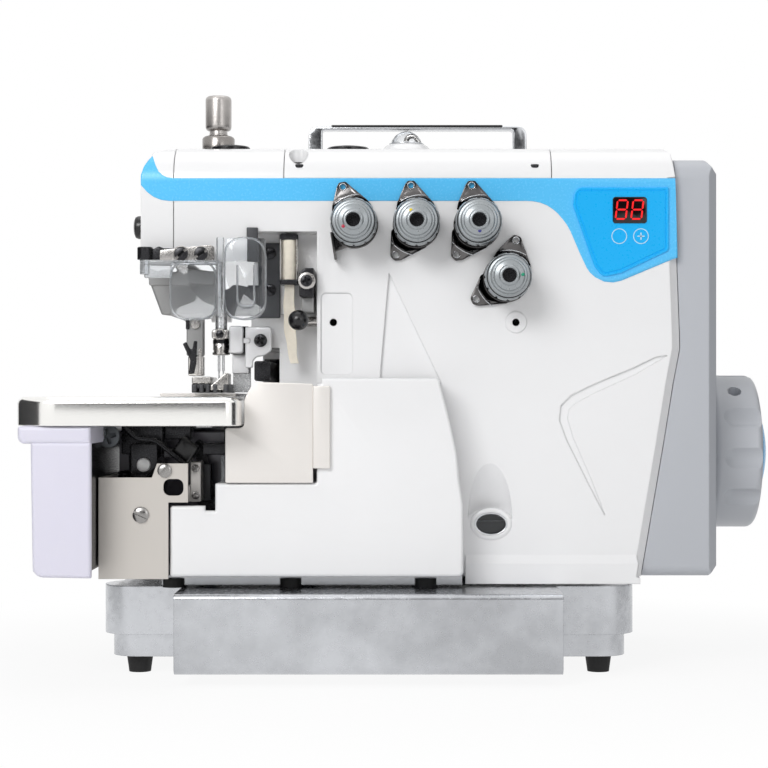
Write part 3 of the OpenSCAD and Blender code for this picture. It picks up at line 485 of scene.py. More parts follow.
# ---- Shared metals and plastics -------------------------------------------------------------------
# Plated, ground, blackened and moulded small parts. Plating takes a mild unevenness from the steel under
# it, ground faces have a finer grain, and blackened screws shine dully.
chrome = finish("chrome", (214, 216, 219), metal=1.0, rough=(0.13, 0.2), grain=(300, 4e-6), blotch=(20, 0.05))
# darkened, heavily mottled chrome for the tension sheets: painted reflection of dark surroundings on plated
# steel
chrome_painted_dark_reflection = finish("chrome_painted_dark_reflection", (112, 110, 110), metal=1.0, rough=(0.12, 0.2), grain=(500, 1e-5),
                     blotch=(90, 0.5), soft_edge=0.0006)
polished = finish("polished_steel", (248, 247, 244), metal=0.95, rough=(0.14, 0.2), grain=(900, 4e-6),
                  blotch=(9, 0.03))
satin = finish("satin_plate", (236, 232, 228), metal=0.55, rough=(0.34, 0.42), grain=(1200, 6e-6),
               blotch=(9, 0.04))
nickel = finish("nickel_plate", (208, 203, 197), metal=0.5, rough=(0.32, 0.42), grain=(900, 6e-6),
                blotch=(9, 0.04))
bright = finish("bright_plate", (196, 193, 190), metal=1.0, rough=(0.2, 0.3), grain=(900, 2e-6),
                blotch=(20, 0.08), soft_edge=0.0003)
ground = finish("ground_steel", (214, 215, 217), metal=0.85, rough=(0.22, 0.34), grain=(1100, 1e-5),
                blotch=(30, 0.12))
oxide = finish("black_oxide", (48, 48, 51), metal=0.6, rough=(0.2, 0.32), grain=(1300, 1e-5),
               blotch=(30, 0.15), soft_edge=0.0006)
iron = finish("iron_grey", (150, 150, 150), metal=0.45, rough=(0.38, 0.5), grain=(900, 1e-5),
              blotch=(16, 0.14), soft_edge=0.0008)
black_plastic = finish("black_plastic", (20, 20, 22), rough=(0.2, 0.28), grain=(1200, 1e-5))
felt = finish("felt", (250, 242, 226), rough=(0.85, 0.95), grain=(2400, 4e-4), blotch=(120, 0.12))
copper = finish("copper_winding", (176, 104, 66), metal=0.9, rough=(0.3, 0.4), grain=(800, 2e-4))
clear = finish("clear_plastic", (250, 252, 254), rough=(0.02, 0.05), grain=(300, 4e-6), blotch=(20, 0.0),
               Transmission_Weight=1.0, IOR=1.46)
milky = finish("milky_plastic", (232, 235, 238), rough=(0.06, 0.1), grain=(300, 4e-6), blotch=(20, 0.02),
               Transmission_Weight=0.84, IOR=1.46)


# ---- Blue band and operating panel ----------------------------------------------------------------
# A printed film runs across the front and swells round the panel; the panel is a moulded plate with an
# embossed edge, a dark display window with two red figures, and two film keys marked by pale rings. The
# oil window below them is set in a white rim with a bright bezel.
FACE = 90.0
PANEL_FACE = 91.2
GLASS_FACE = 91.95


def crown(z, front=FACE, radius=22.0, start=291.3):
    """Y of the head's front face at height z: flat, then rolling back over the top on a quarter circle."""
    rise = np.clip(z - start, 0, radius)
    return -front + radius - np.sqrt(radius ** 2 - rise ** 2)


def band_sheet():
    """Sheet over x and a share t of its height: z = low(x) + t * (high(x) - low(x)), with both edges
    interpolated between their points, 0.06 in front of the crown."""
    high = np.array([(-159.3, 295.4), (-157.8, 300.4), (-155.3, 304.6), (-153.2, 307.4), (-152.2, 304.6),
                     (-150.8, 301.0), (-148.9, 297.4), (-146.6, 295.3), (-144.0, 294.0), (-140.2, 293.4),
                     (155.9, 293.4), (157.2, 246.6)])
    low = np.array([(-159.3, 289.4), (-158.2, 288.2), (-155.8, 285.4), (-151.8, 282.4), (-147.4, 280.6),
                    (-142.6, 280.0), (68, 280.0), (72, 279.8), (76.4, 278.9), (80.2, 277.4), (83.6, 275.2),
                    (86.8, 272.4), (89.8, 268.8), (92.0, 265.8), (94.2, 261.8), (99.2, 250.0),
                    (103.4, 240.9), (105.6, 237.7), (108.6, 235.0), (113.9, 232.4), (119.4, 231.9),
                    (124.2, 233.0), (153.4, 245.2), (157.2, 246.5)])
    x = np.unique(
        np.concatenate([high[:, 0], low[:, 0], np.linspace(-159.3, 157.2, 240), np.linspace(66, 126, 80)]))
    t = np.linspace(0, 1, 25)[:, None]
    z = np.interp(x, *low.T) * (1 - t) + np.interp(x, *high.T) * t
    points = np.stack([np.broadcast_to(x, z.shape), crown(z) - 0.06, z], -1)
    rows, count = z.shape
    i, j = np.meshgrid(np.arange(rows - 1) * count, np.arange(count - 1), indexing="ij")
    faces = np.stack([i + j, i + j + 1, i + count + j + 1, i + count + j], -1).reshape(-1, 4)
    return points.reshape(-1, 3), faces.tolist()


blue = finish("blue_film", (93, 200, 255), rough=(0.26, 0.28), grain=(700, 0.0), blotch=(8, 0.02),
              soft_edge=0.0)
panel_blue = finish("panel_blue", (20, 182, 252), rough=(0.27, 0.29), grain=(700, 0.0), blotch=(8, 0.02),
                    soft_edge=0.0)
black = finish("display_black", (22, 12, 14), rough=(0.08, 0.12), grain=(500, 4e-6))
band = put("blue_band", *band_sheet(), "machine", "blue_trim", blue)
film = band.modifiers.new("film", "SOLIDIFY")
film.thickness, film.offset = 0.0001, 1.0

panel_corners = [(95.4, 277.3), (96.4, 287.9), (152, 288), (152, 250.7), (124.1, 237.4), (113, 234.9),
                 (108, 241.5)]
panel_radii = (6, 5, 1, 2.5, 8, 5, 8)
panel_rings = np.vstack(
    [slab(90.1, PANEL_FACE, 0.1, 0.5), [(1.4, PANEL_FACE), (1.7, 90.85), (2.1, 90.85), (2.4, PANEL_FACE)]])
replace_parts(put("panel_plate", *shell(panel_corners, panel_radii, panel_rings, "front"), "machine",
                "panel_blue", panel_blue), "control_panel")
window = [(118.8, 266.7), (138.9, 266.7), (138.9, 282.2), (118.8, 282.2)]
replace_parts(put("display_glass", *plate(window, 1.6, PANEL_FACE, GLASS_FACE, 0.1, 0.3), "machine",
                "display_black", black), "display_window")


def figure(left, foot, wide=6.0, tall=11.0, bar=1.05, lean=0.12):
    """Seven flat bars of a lit figure, leaning to the right by lean times their height."""
    spans = [((0, 0), (1, 0)), ((0, 0.5), (1, 0.5)), ((0, 1), (1, 1)), ((0, 0), (0, 0.5)), ((1, 0), (1, 0.5)),
             ((0, 0.5), (0, 1)), ((1, 0.5), (1, 1))]
    made = []
    for a, b in spans:
        a, b = np.array(a) * (wide, tall), np.array(b) * (wide, tall)
        along = (b - a) / np.linalg.norm(b - a)
        across = np.array([-along[1], along[0]]) * bar / 2
        a, b = a + along * 0.35, b - along * 0.35
        ring = np.array([a, a + along * bar / 2 - across, b - along * bar / 2 - across, b,
                         b - along * bar / 2 + across, a + along * bar / 2 + across])
        ring[:, 0] += lean * ring[:, 1]
        made.append(shell(ring + (left, foot), 0.05, [(0, GLASS_FACE), (0, 92.0)], "front", 2))
    return made


lit = finish("lit_figures", (235, 20, 24), rough=(0.3, 0.35), Emission_Color=linear(240, 24, 28),
             Emission_Strength=0.5)
put("display_figures", *several(figure(120.4, 269.2) + figure(129.6, 269.2)), "machine", "display_black", lit)

key_print = finish("key_print", (205, 236, 252), rough=(0.3, 0.35))


PRINT = (PANEL_FACE, 91.25)


def key_ring(x, z, radius=4.6, line=0.5):
    """Flat printed ring: a rectangle line wide, between the levels of the print, carried round the circle."""
    return revolve([(radius - line, PRINT[0]), (radius, PRINT[0]), (radius, PRINT[1]),
                    (radius - line, PRINT[1])], (x, 0, z), "front", count=64)


keys_z, left_key_x, right_key_x = 259.1, 122.7, 135.5
cross = [shell([(x0, z0), (x1, z0), (x1, z1), (x0, z1)], 0.2, [(0, level) for level in PRINT], "front", 3)
         for x0, x1, z0, z1 in ((133.3, 137.7, 258.75, 259.45), (135.15, 135.85, 256.9, 261.3))]
put("key_marks", *several([key_ring(left_key_x, keys_z), key_ring(right_key_x, keys_z)] + cross), "machine",
    "panel_blue", key_print)


sight_glass = finish("sight_glass", (44, 47, 50), rough=(0.05, 0.08), grain=(500, 2e-6), blotch=(40, 0.3),
                     soft_edge=0.0008)
dress(sight_glass, "oil_window")


def oval_ring(profile, wide=9.5, tall=6.7, x=47.2, z=89.4, count=96):
    """Ring round an oval: at angle a the profile's point (r, h) lies (cos a * (wide + r), sin a * (tall + r))
    from the middle, h in front of the face."""
    r, h = np.array(profile, float).T
    a = np.arange(count) * 2 * math.pi / count
    px = x + (wide + r[:, None]) * np.cos(a)
    pz = z + (tall + r[:, None]) * np.sin(a)
    points = np.stack([px, np.broadcast_to(-FACE - h[:, None], px.shape), pz], -1).reshape(-1, 3)
    return points, strips(len(r), count, wrap_rows=True)


rim_profile = [(0, -6.5), (0, 0.3), (0.3, 0.7), (0.9, 0.8), (1.8, 0.6), (2.8, 0.05), (2.8, -2), (1, -6.5)]
put("oil_window_rim", *oval_ring(rim_profile), "machine", "white_enamel", enamel)
bezel_profile = [(-0.9, -6.4), (-0.9, -0.2), (-0.6, 0.1), (-0.05, 0.1), (-0.05, -6.4)]
put("oil_window_bezel", *oval_ring(bezel_profile), "machine", "chrome", chrome)
put("oil_level_line", *block((38.6, 55.8), (90.6, 91.3), 0.2, 83.4, 84.2, 0.1, 0.2), "machine",
    "display_black", finish("level_line", (92, 95, 97), rough=(0.2, 0.3)))


# ---- Top fittings ---------------------------------------------------------------------------------
# A chromed carrying handle with upright legs is screwed to the top cover; a black strip along the top of
# its bar is painted reflection, the dark that its rounded top mirrors. Under it stands the oil sight, a
# clear dome on a moulded base; left of it are two push-in rubber plugs and the turned pressure screw in
# its collar. Three dark screw heads show on the cover's front edge.
ROOF = 313.4
SIGHT = (-2.4, 0, 0)
PRESSURE_POST = (-120, -20, 0)
handle_outline = [(-64.4, ROOF), (-55.6, ROOF), (-55.6, 333.7), (65.0, 333.7), (65.0, ROOF), (73.7, ROOF),
                  (73.7, 336.3), (-64.4, 336.3)]
handle_radii = (0.4, 0.4, 1.6, 1.6, 0.4, 0.4, 6, 6)
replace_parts(put("handle_strip", *plate(handle_outline, handle_radii, -5, 5, 0.9, 0.9), "machine", "chrome",
                chrome), "carry_handle")
# a black strip along the bar's top, as painted dark reflection
put("handle_top_painted_reflection", *block((-50, 58.5), (335.2, 336.8), 0.7, -5.3, 5.3, 0.5, 0.5), "machine",
    "black_plastic", black_plastic)
arc = np.linspace(0, math.pi / 2, 18)
dome = np.stack([10.0 * np.cos(arc), 323.4 + 9.9 * np.sin(arc)], -1)
dome_profile = np.vstack([[(0, 318.2), (9.2, 318.2), (10.0, 319.0)], dome[:-1], [(0, 333.3)]])
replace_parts(put("oil_sight_glass", *revolve(dome_profile, SIGHT, "top", 96), "machine", "clear_plastic",
                clear), "oil_sight_dome")
mound = [(10.3, ROOF), (20.5, ROOF), (20.5, 314.7), (18.9, 315.9), (17.2, 318.2), (15.6, 320.9),
         (13.9, 323.2), (12.3, 324.3), (10.9, 324.5), (10.3, 324.1)]
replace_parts(put("oil_sight_mound", *revolve(mound, SIGHT, "top", 96), "machine", "white_plastic", enamel),
            "oil_sight_base")
put("oil_sight_ring",
    *revolve([(10.3, 324.3), (11.0, 324.6), (11.2, 325.1), (10.9, 325.6), (10.2, 325.4)], SIGHT, "top", 96),
    "machine", "chrome", chrome)
put("oil_sight_floor",
    *revolve([(0, 313.5), (9.6, 313.5), (9.6, 317.6), (9.2, 318.0), (0, 318.0)], SIGHT, "top", 64),
    "machine", "black_plastic", oxide)
put("oil_spout",
    *tube(smooth_path([(-2.4, 0, 319.4), (-2.4, 0, 327.5), (0.8, 0, 328.8), (3.6, 0, 325.4)], 2.0), 1.2,
          14), "machine", "nickel", bright)


def plug(x, y, radius):
    """Low domed plug: flat rim, then a crown that falls with the square of the distance from its middle."""
    s = np.linspace(0, 1, 16)
    crown_line = np.stack([radius * 0.78 * (1 - s), 317.6 + 1.1 * (1 - (1 - s) ** 2)], -1)
    profile = np.vstack([[(0, ROOF), (radius * 0.99, ROOF), (radius, 313.9), (radius, 316.7),
                          (radius * 0.94, 317.4)], crown_line[:-1], [(0, 318.7)]])
    return revolve(profile, (x, y, 0), "top", 96)


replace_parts(put("oil_plug_caps", *several([plug(-38.4, -42, 13.0), plug(-110.2, -46, 12.0)]), "machine",
                "black_plastic", black_plastic), "oil_plugs")
brushed = finish("brushed_steel", (184, 180, 177), metal=0.85, rough=(0.26, 0.36), grain=(900, 1e-5),
                 blotch=(40, 0.1), stretch=(1, 1, 12))
pressure_profile = [(0, 302.3), (6, 302.3), (6, 328.2), (5.6, 328.5), (5.5, 330.2), (5.5, 330.7),
                    (6.6, 330.9), (7.5, 331.5), (8.0, 332.6), (8.1, 333.8), (8.1, 349.4), (8.0, 350.6),
                    (7.5, 351.6), (6.6, 352.2), (0, 352.3)]
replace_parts(put("pressure_screw", *revolve(pressure_profile, PRESSURE_POST, "top", 96), "pressure_screw",
                "nickel", brushed), "pressure_knob")
collar_steel = finish("collar_steel", (146, 142, 139), metal=1.0, rough=(0.2, 0.3), grain=(900, 3e-6),
                      blotch=(40, 0.06))
nut_profile = [(6.05, ROOF), (9.8, ROOF), (10.1, 313.8), (10.1, 318.4), (9.7, 318.8), (9.7, 319.4),
               (10.1, 319.8), (10.1, 325.6), (9.6, 326.5), (8.6, 327.2), (6.6, 327.4), (6.05, 327.1)]
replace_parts(put("pressure_collar", *revolve(nut_profile, PRESSURE_POST, "top", 96), "machine", "nickel",
                collar_steel), "pressure_lock_nut")

dress(chrome, "main_shaft")
dress(oxide, "tension_studs")
seated_head = [(0, 300.95), (4.15, 300.95), (4.2, 301.2), (4.2, 303.0), (3.8, 303.5), (0, 303.6)]
small_head = [(0, 299.8), (2.7, 299.8), (3.0, 300.1), (3.0, 301.4), (2.6, 301.9), (0, 302.2)]
cover_heads = [revolve(seated_head, (-66.6, -81.4, 0), "top", 48)]
cover_heads += [revolve(small_head, (x, -85.9, 0), "top", 40) for x in (-66.0, 73.2)]
put("cover_screw_head", *several(cover_heads), "machine", "black_oxide", oxide)
# the lip closes the gap behind the cover with a strip of the same round shoulder
lip_angle = np.radians(np.linspace(27.6, 63.8, 9))
lip_arc = np.stack([np.sin(lip_angle), np.cos(lip_angle)], -1)
lip_outline = np.vstack([22 * lip_arc, 19 * lip_arc[::-1]]) + (90, 291.3)
put("top_cover_rear_lip", *shell(lip_outline, 0.2, slab(-74.8, 82.8, 0.2, 0.2), "side", 3), "machine",
    "white_enamel", enamel)


# ---- Motor cover, drive and handwheel -------------------------------------------------------------
# The direct-drive motor sits on the shaft's right end under a painted sheet cover; outside it the cast
# handwheel, painted grey, has nine finger flutes in threes and a pressed blue disc on its face.
WHEEL = (0, 0, 130.2)
WEB_RADIUS = 36
grey = finish("grey_paint", (188, 191, 197), rough=(0.36, 0.44), grain=(800, 1e-5), blotch=(8, 0.03),
              soft_edge=0.0012)
wheel_grey = finish("wheel_grey", (196, 199, 205), rough=(0.32, 0.4), grain=(900, 1e-5), blotch=(8, 0.04))
dress(grey, "motor_cover")
dress(copper, "motor_stator")
flute_angles = np.radians([180 - a for a in (27, -4, -35, 147, 116, 85, -93, -124, -155)])


def fluted(radius, height, angle, reach=53.0, bite=8.2, start=199.0):
    """Radius left after the flutes: each is a round channel of radius bite whose axis lies reach from the
    centre, so its floor is at reach * cos d - sqrt(bite^2 - (reach * sin d)^2), ending in a ball at start.
    A round hole for the grub screw goes down to hole_floor."""
    hole_height, hole_angle, hole_radius, hole_floor = 201.0, math.radians(128), 3.9, 42.0
    everywhere = np.broadcast_to(angle, radius.shape)[..., None]
    apart = (everywhere - flute_angles + math.pi) % (2 * math.pi) - math.pi
    d = np.take_along_axis(apart, np.abs(apart).argmin(-1)[..., None], -1)[..., 0]
    ball = np.sqrt(np.clip(bite ** 2 - np.clip(start - height, 0, bite) ** 2, 0, None))
    inside = np.clip(ball ** 2 - (reach * np.sin(d)) ** 2, 0, None)
    floor = np.where(inside > 0, reach * np.cos(d) - np.sqrt(inside), 1e3)
    cut = np.where(radius > WEB_RADIUS, np.minimum(radius, np.maximum(floor, WEB_RADIUS)), radius)
    screw_hole = (height - hole_height) ** 2 + (48 * (angle - hole_angle)) ** 2 < hole_radius ** 2
    return np.where(screw_hole & (radius > 47), hole_floor, cut)


bend = np.linspace(0, math.pi / 2, 10)
rim = np.concatenate([
    np.stack([42 + 6 * np.sin(bend), 191 - 6 * np.cos(bend)], -1),
    np.stack([np.full(40, 48.0), np.linspace(191.5, 211.4, 40)], -1),
    np.stack([43.4 + 4.6 * np.cos(bend), 212 + 4.4 * np.sin(bend)], -1)])
wheel_profile = np.vstack([[(7.6, 185.0), (17, 185.0), (19, 199.0), (34, 199.0), (WEB_RADIUS, 185.0)], rim,
                           [(28.6, 216.9), (28.05, 216.6), (28.05, 214.7), (7.6, 214.7)]])
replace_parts(put("handwheel_casting", *revolve(wheel_profile, WHEEL, "side", 384, fluted), "drive_line",
                "wheel_grey", wheel_grey), "handwheel")
swell = np.linspace(0, 1, 12)
disc_profile = np.vstack([[(0, 214.8), (27.8, 214.8), (27.95, 215.0), (27.95, 219.0)],
                          np.stack([27.2 * (1 - swell), 219.6 + 5.4 * (1 - (1 - swell) ** 2)], -1)])
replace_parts(put("handwheel_cap", *revolve(disc_profile, WHEEL, "side", 128), "drive_line", "panel_blue",
                panel_blue), "handwheel_disc")


# ---- Thread tensions ------------------------------------------------------------------------------
# Four turned and plated tension knobs on studs: a ribbed flange, a waist, a stepped face and a collar
# round the bore, each with a drop of coloured lacquer. Behind each sits a plated sheet guide darkened as
# painted reflection, with a bent rib that carries a bright rod as painted highlight and an eye in both
# ears; the lower ear of the first is folded forward.
places = [(-33.3, 265.7), (3.1, 265.7), (38.9, 265.7), (56.1, 233.9)]
rolls = (-9, 0, 0, 22)
knob_grey = finish("knob_grey", (158, 163, 166), metal=0.55, rough=(0.26, 0.36), grain=(1100, 1e-5),
                   blotch=(30, 0.08), soft_edge=0.0004)
knob_dark = finish("knob_dark", (30, 31, 33), metal=0.4, rough=(0.3, 0.4), grain=(1100, 1e-5))
drop_colours = {"red": (178, 32, 62), "yellow": (236, 208, 42), "blue": (52, 54, 132),
                "green": (20, 148, 112)}
lacquers = [finish(f"lacquer_{name}", colour, rough=(0.25, 0.3), grain=(500, 2e-6))
            for name, colour in drop_colours.items()]
drops = [(-5.6, -3.8), (-3.4, 5.4), (0.2, -6.4), (7.6, 0.4)]


def ribbed(radius, height, angle, ribs=12, depth=0.9):
    """Radius with ribs round the flange: where it is over 13.2, depth * (4 * cos(ribs * a) - 3) is taken off,
    with the bracket held between 0 and 1."""
    gap = np.clip(np.cos(angle * ribs) * 4 - 3, 0, 1)
    return np.where(radius > 13.2, radius - depth * gap, radius)


knob_profile = [(4.06, 14), (11.2, 14), (12.6, 14.6), (13.5, 16), (13.7, 17.2), (13.7, 20.6), (13.3, 21.6),
                (12.3, 22.0), (12.3, 23.2), (13.3, 23.6), (13.6, 24.4), (13.6, 26.4), (13.2, 27.4),
                (12.5, 27.8), (12.2, 28.0), (12.2, 31.0), (11.8, 31.9), (10.9, 32.3), (10.6, 32.3),
                (10.4, 32.9), (10.4, 34.2), (10.0, 34.8), (9.0, 35.0), (8.8, 35.6), (8.7, 36.2),
                (8.2, 36.6), (6.3, 36.7), (6.0, 36.9), (5.6, 37.7), (5.2, 38), (4.3, 38), (4.06, 37.7)]
groove_profiles = ([(12.28, 22.1), (12.9, 22.15), (12.9, 23.1), (12.28, 23.15)],
                   [(12.19, 27.9), (12.75, 27.95), (12.75, 28.5), (12.19, 28.55)])
drop_profile = [(0, 126.5), (1.05, 126.5), (1.0, 126.8), (0.6, 127.0), (0, 127.05)]
for i, (x, z) in enumerate(places):
    knob = f"knob_{i + 1}"
    grip = revolve(np.array(knob_profile) + (0, FACE), (x, 0, z), "front", 144, ribbed)
    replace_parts(put(f"tension_grip_{i + 1}", *grip, knob, "knob_grey", knob_grey), f"tension_knob_{i + 1}")
    grooves = [revolve(np.array(profile) + (0, FACE), (x, 0, z), "front", 96) for profile in groove_profiles]
    put(f"tension_groove_{i + 1}", *several(grooves), knob, "black_oxide", knob_dark)
    dx, dz = drops[i]
    drop = revolve(drop_profile, (x + dx, 0, z + dz), "front", 24)
    put(f"tension_drop_{i + 1}", *drop, knob, "knob_grey", lacquers[i])


def turned(points, i):
    """Points about a tension's own axis, rolled by its angle and moved to its place."""
    c, s = math.cos(math.radians(rolls[i])), math.sin(math.radians(rolls[i]))
    x, y, z = np.array(points, float).T
    return np.stack([places[i][0] + x * c + z * s, y, places[i][1] - x * s + z * c], -1)


SHEET_BACK = 90.3


def ear_sheet(corners, radii, eye, thick=1.3, rings=14):
    """Plate over an outline of rounded corners with a round eye (x, z, radius): rings run in equal shares
    from the eye's edge out to the outline. Its height over the head follows the distance from the knob's
    axis along the line below, so it is folded up beside the knob and falls towards its tip."""
    edge = rounded(corners, radii, 8)
    ray = edge - eye[:2]
    hole = eye[:2] + eye[2] * ray / np.linalg.norm(ray, axis=1, keepdims=True)
    face = hole + (edge - hole) * np.linspace(0, 1, rings)[:, None, None]
    both = np.concatenate([face, face[::-1]])
    reach = np.linalg.norm(both, axis=-1)
    lift = np.interp(reach, (10, 14.4, 16.6, 17.4, 18.6, 22, 28), (0, 0.1, 1.9, 2.1, 1.3, 0.5, 0.3))
    level = np.where(np.arange(2 * rings) < rings, SHEET_BACK + thick, SHEET_BACK)[:, None] + lift
    points = np.stack([both[..., 0], -level, both[..., 1]], -1).reshape(-1, 3)
    return points, strips(2 * rings, len(edge), wrap_rows=True)


def fold_line(low, high, bow, rise):
    """Painted highlight along the crease across an ear: a thin bright rod from low to high, bowed by bow to
    its left in the middle, whose radius swells from both ends as the root of a sine."""
    t = np.linspace(0, 1, 25)[:, None]
    low, high = np.array(low), np.array(high)
    along = (high - low) / np.linalg.norm(high - low)
    line = low + (high - low) * t + np.array([-along[1], along[0]]) * bow * 4 * t * (1 - t)
    radius = 0.42 * np.sqrt(np.sin(math.pi * (0.06 + 0.88 * t[:, 0])))
    return tube(np.stack([line[:, 0], np.full(len(t), -rise), line[:, 1]], -1), radius, 10)


def eyelet(eye):
    """Rolled edge round an eye."""
    return revolve([(1.62, 91.4), (1.66, 92.3), (1.95, 92.6), (2.25, 92.35), (2.3, 91.5)],
                   (eye[0], 0, eye[1]), "front", 40)


upper_eye, lower_eye, eye_radius = (-3.2, 23.1), (-11.9, -17.4), 1.65
upper_ear = ([(-12, 9), (-11.2, 13), (-6.8, 23.6), (-5.2, 26), (-1.2, 26), (0.4, 24), (10, 13), (12, 9)],
             (0.5, 2, 3, 1.6, 1.6, 3, 2, 0.5))
lower_ear = ([(-9, 4), (-14.8, -3.7), (-15.4, -18.6), (-12.6, -21.2), (-9, -20.8), (5.5, -13.4), (11, -6)],
             (0.5, 2.5, 3, 2, 2.6, 2, 0.5))
folded_ear = block((-14.6, -13.2), (-19.5, -3), 0.3, SHEET_BACK, 104, 0.3, 0.5)
web = plate([(-14, -2), (-14, -14), (-6, -12.4), (-4, -6)], 0.6, SHEET_BACK, 92.4, 0.2, 0.4)
base_disc = revolve([(0, SHEET_BACK), (13.9, SHEET_BACK), (13.9, 92.0), (13.6, 92.5), (0, 92.6)], (0, 0, 0),
                    "front", 72)
for i in range(4):
    lower = [folded_ear, web] if i == 0 else [ear_sheet(*lower_ear, (*lower_eye, eye_radius))]
    sheet = several([ear_sheet(*upper_ear, (*upper_eye, eye_radius)), base_disc] + lower)
    made = put(f"tension_sheet_{i + 1}", turned(sheet[0], i), sheet[1], "machine", "black_oxide", chrome_painted_dark_reflection)
    if i == 0:
        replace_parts(made, "tension_brackets")
    # the rods along the creases are bright chrome on the darker sheet, as painted highlight
    creases = [fold_line((-9.6, 13.6), (5.6, 17.2), 1.4, 93.4), eyelet(upper_eye)]
    if i > 0:
        creases += [fold_line((-14.6, -10.2), (-2.0, -17.8), -1.2, 93.2), eyelet(lower_eye)]
    folds = several(creases)
    put(f"tension_folds_{i + 1}", turned(folds[0], i), folds[1], "machine", "chrome", chrome)


# ---- Eye guard and its bracket --------------------------------------------------------------------
# A hinged guard of clear moulded plastic, two curved lenses with thick rims joined by a folded rib, hangs in
# front of the needles from a blackened steel bracket held by two slotted screws. The rims are real beads made
# milky as painted highlight, and chrome rods on the rib's edges are painted highlight.
HINGE = (-155.7, -99, 0)


def lens(corners, radii, bow, axis_x):
    """Clear pane over its outline, 1.6 mm thick, bowed to the front about the upright line at axis_x: y moves
    back by bow times the squared distance from that line."""
    points, faces = shell(corners, radii, slab(103.6, 105.2, 0.5, 0.6, 3), "front", 10)
    points[:, 1] += bow * (points[:, 0] - axis_x) ** 2
    return points, faces


def lens_rim(corners, radius, bow, axis_x, thick=0.62, level=104.4, closed=True):
    """Rounded bead along the edge of a lens, bowed with it."""
    path = smooth_path([(x, -level, z) for x, z in corners], radius, 7, closed)
    path[:, 1] += bow * (path[:, 0] - axis_x) ** 2
    return tube(path, thick, 10, closed)


left_pane = [(-140.6, 209.6), (-113.6, 209.6), (-113.6, 243.6), (-140.6, 243.6)]
right_pane = [(-108.8, 209.6), (-84.9, 209.6), (-84.9, 257.0), (-108.8, 257.0)]
left_bow, right_bow = (0.012, -124), (0.014, -97)
panes = several(
    [lens(left_pane, (11, 5, 1.5, 3), *left_bow), lens(right_pane, (7, 12, 1.5, 1.5), *right_bow)])
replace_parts(put("guard_lenses", *panes, "guard", "clear_plastic", clear), "eye_guard")
inner_u = [(-101.2, -104.9, 241), (-101.2, -104.9, 217.2), (-91.4, -104.9, 217.2), (-91.4, -104.9, 241)]
# the rims are made milky rather than clear, as painted highlight on the lens edges
rims = several([lens_rim(left_pane, 11, *left_bow), lens_rim(right_pane, 12, *right_bow),
                tube(smooth_path(inner_u, 4.4, 7), 0.6, 10)])
put("guard_rims", *rims, "guard", "clear_plastic", milky)
rib = shell([(-113.2, 211.6), (-111.2, 209.4), (-109.2, 211.6), (-108.9, 257.4), (-113.5, 257.4)],
            (0.6, 1.0, 0.6, 0.8, 0.8), slab(102.6, 105.9, 0.9, 1.1, 4), "front", 5)
put("guard_rib", *rib, "guard", "clear_plastic", clear)
# chrome rods on the clear rib's edges, as painted highlight
put("guard_rib_painted_glint",
    *several([tube([(x, -105.2, 211.4), (x, -105.2, 257.0)], 0.42, 10) for x in (-112.9, -109.3)]), "guard",
    "chrome", chrome)
hinge_pin = [(0, 236), (2.6, 236), (3, 236.5), (3, 250.6), (2.4, 251.2), (0, 251.3)]
arm = several([revolve(hinge_pin, HINGE, "top", 48),
               block((HINGE[0], -112), (241.2, 244.2), 0.6, 100.4, 103.3, 0.5, 0.6),
               block((HINGE[0], -139.5), (233.8, 241.4), 0.8, 100.6, 103.0, 0.4, 0.6)])
put("guard_arm", *arm, "guard", "clear_plastic", milky)
ridge = [(-154, 244.9), (-116.4, 244.9), (-116.4, 251.4), (-144.6, 251.4), (-147.6, 252.6), (-150.4, 251.2),
         (-154, 251.0)]
eye_profile = [(3.12, 244.6), (4.2, 244.6), (4.5, 245), (4.5, 251.6), (4.1, 252), (3.12, 252)]
bracket_body = several([plate(ridge, (0.8, 0.8, 1.2, 2, 1.6, 1.6, 0.8), 90.1, 99.4, 0.4, 0.8),
                        revolve(eye_profile, HINGE, "top", 64)])
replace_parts(put("guard_bracket_body", *bracket_body, "machine", "black_oxide", oxide), "guard_bracket")
put("guard_bracket_plate",
    *plate([(-147, 243.4), (-115, 243.4), (-115, 252.6), (-118, 253.4), (-147, 250.2)],
           (0.6, 0.8, 2, 2, 1.2), 99.4, 100.2, 0.2, 0.3), "machine", "nickel", bright)
GUARD_SCREWS = ((-134.3, 247.9), (-122.7, 247.9))
washers = [revolve([(2.4, 100.2), (4.9, 100.2), (4.9, 100.9), (4.6, 101.2), (2.4, 101.2)], (x, 0, z),
                   "front", 48) for x, z in GUARD_SCREWS]
put("guard_washers", *several(washers), "machine", "nickel", bright)
# a black plug closes the bore in the left end cover
left_plug = [(0, 159.0), (6.6, 159.2), (7.0, 160.4), (6.9, 163.4), (6.2, 164.9), (4.4, 165.7), (0, 165.9)]
put("face_cover_plug", *revolve([(r, -h) for r, h in left_plug][::-1], (0, -70, 266), "side", 64), "machine",
    "black_plastic", black_plastic)


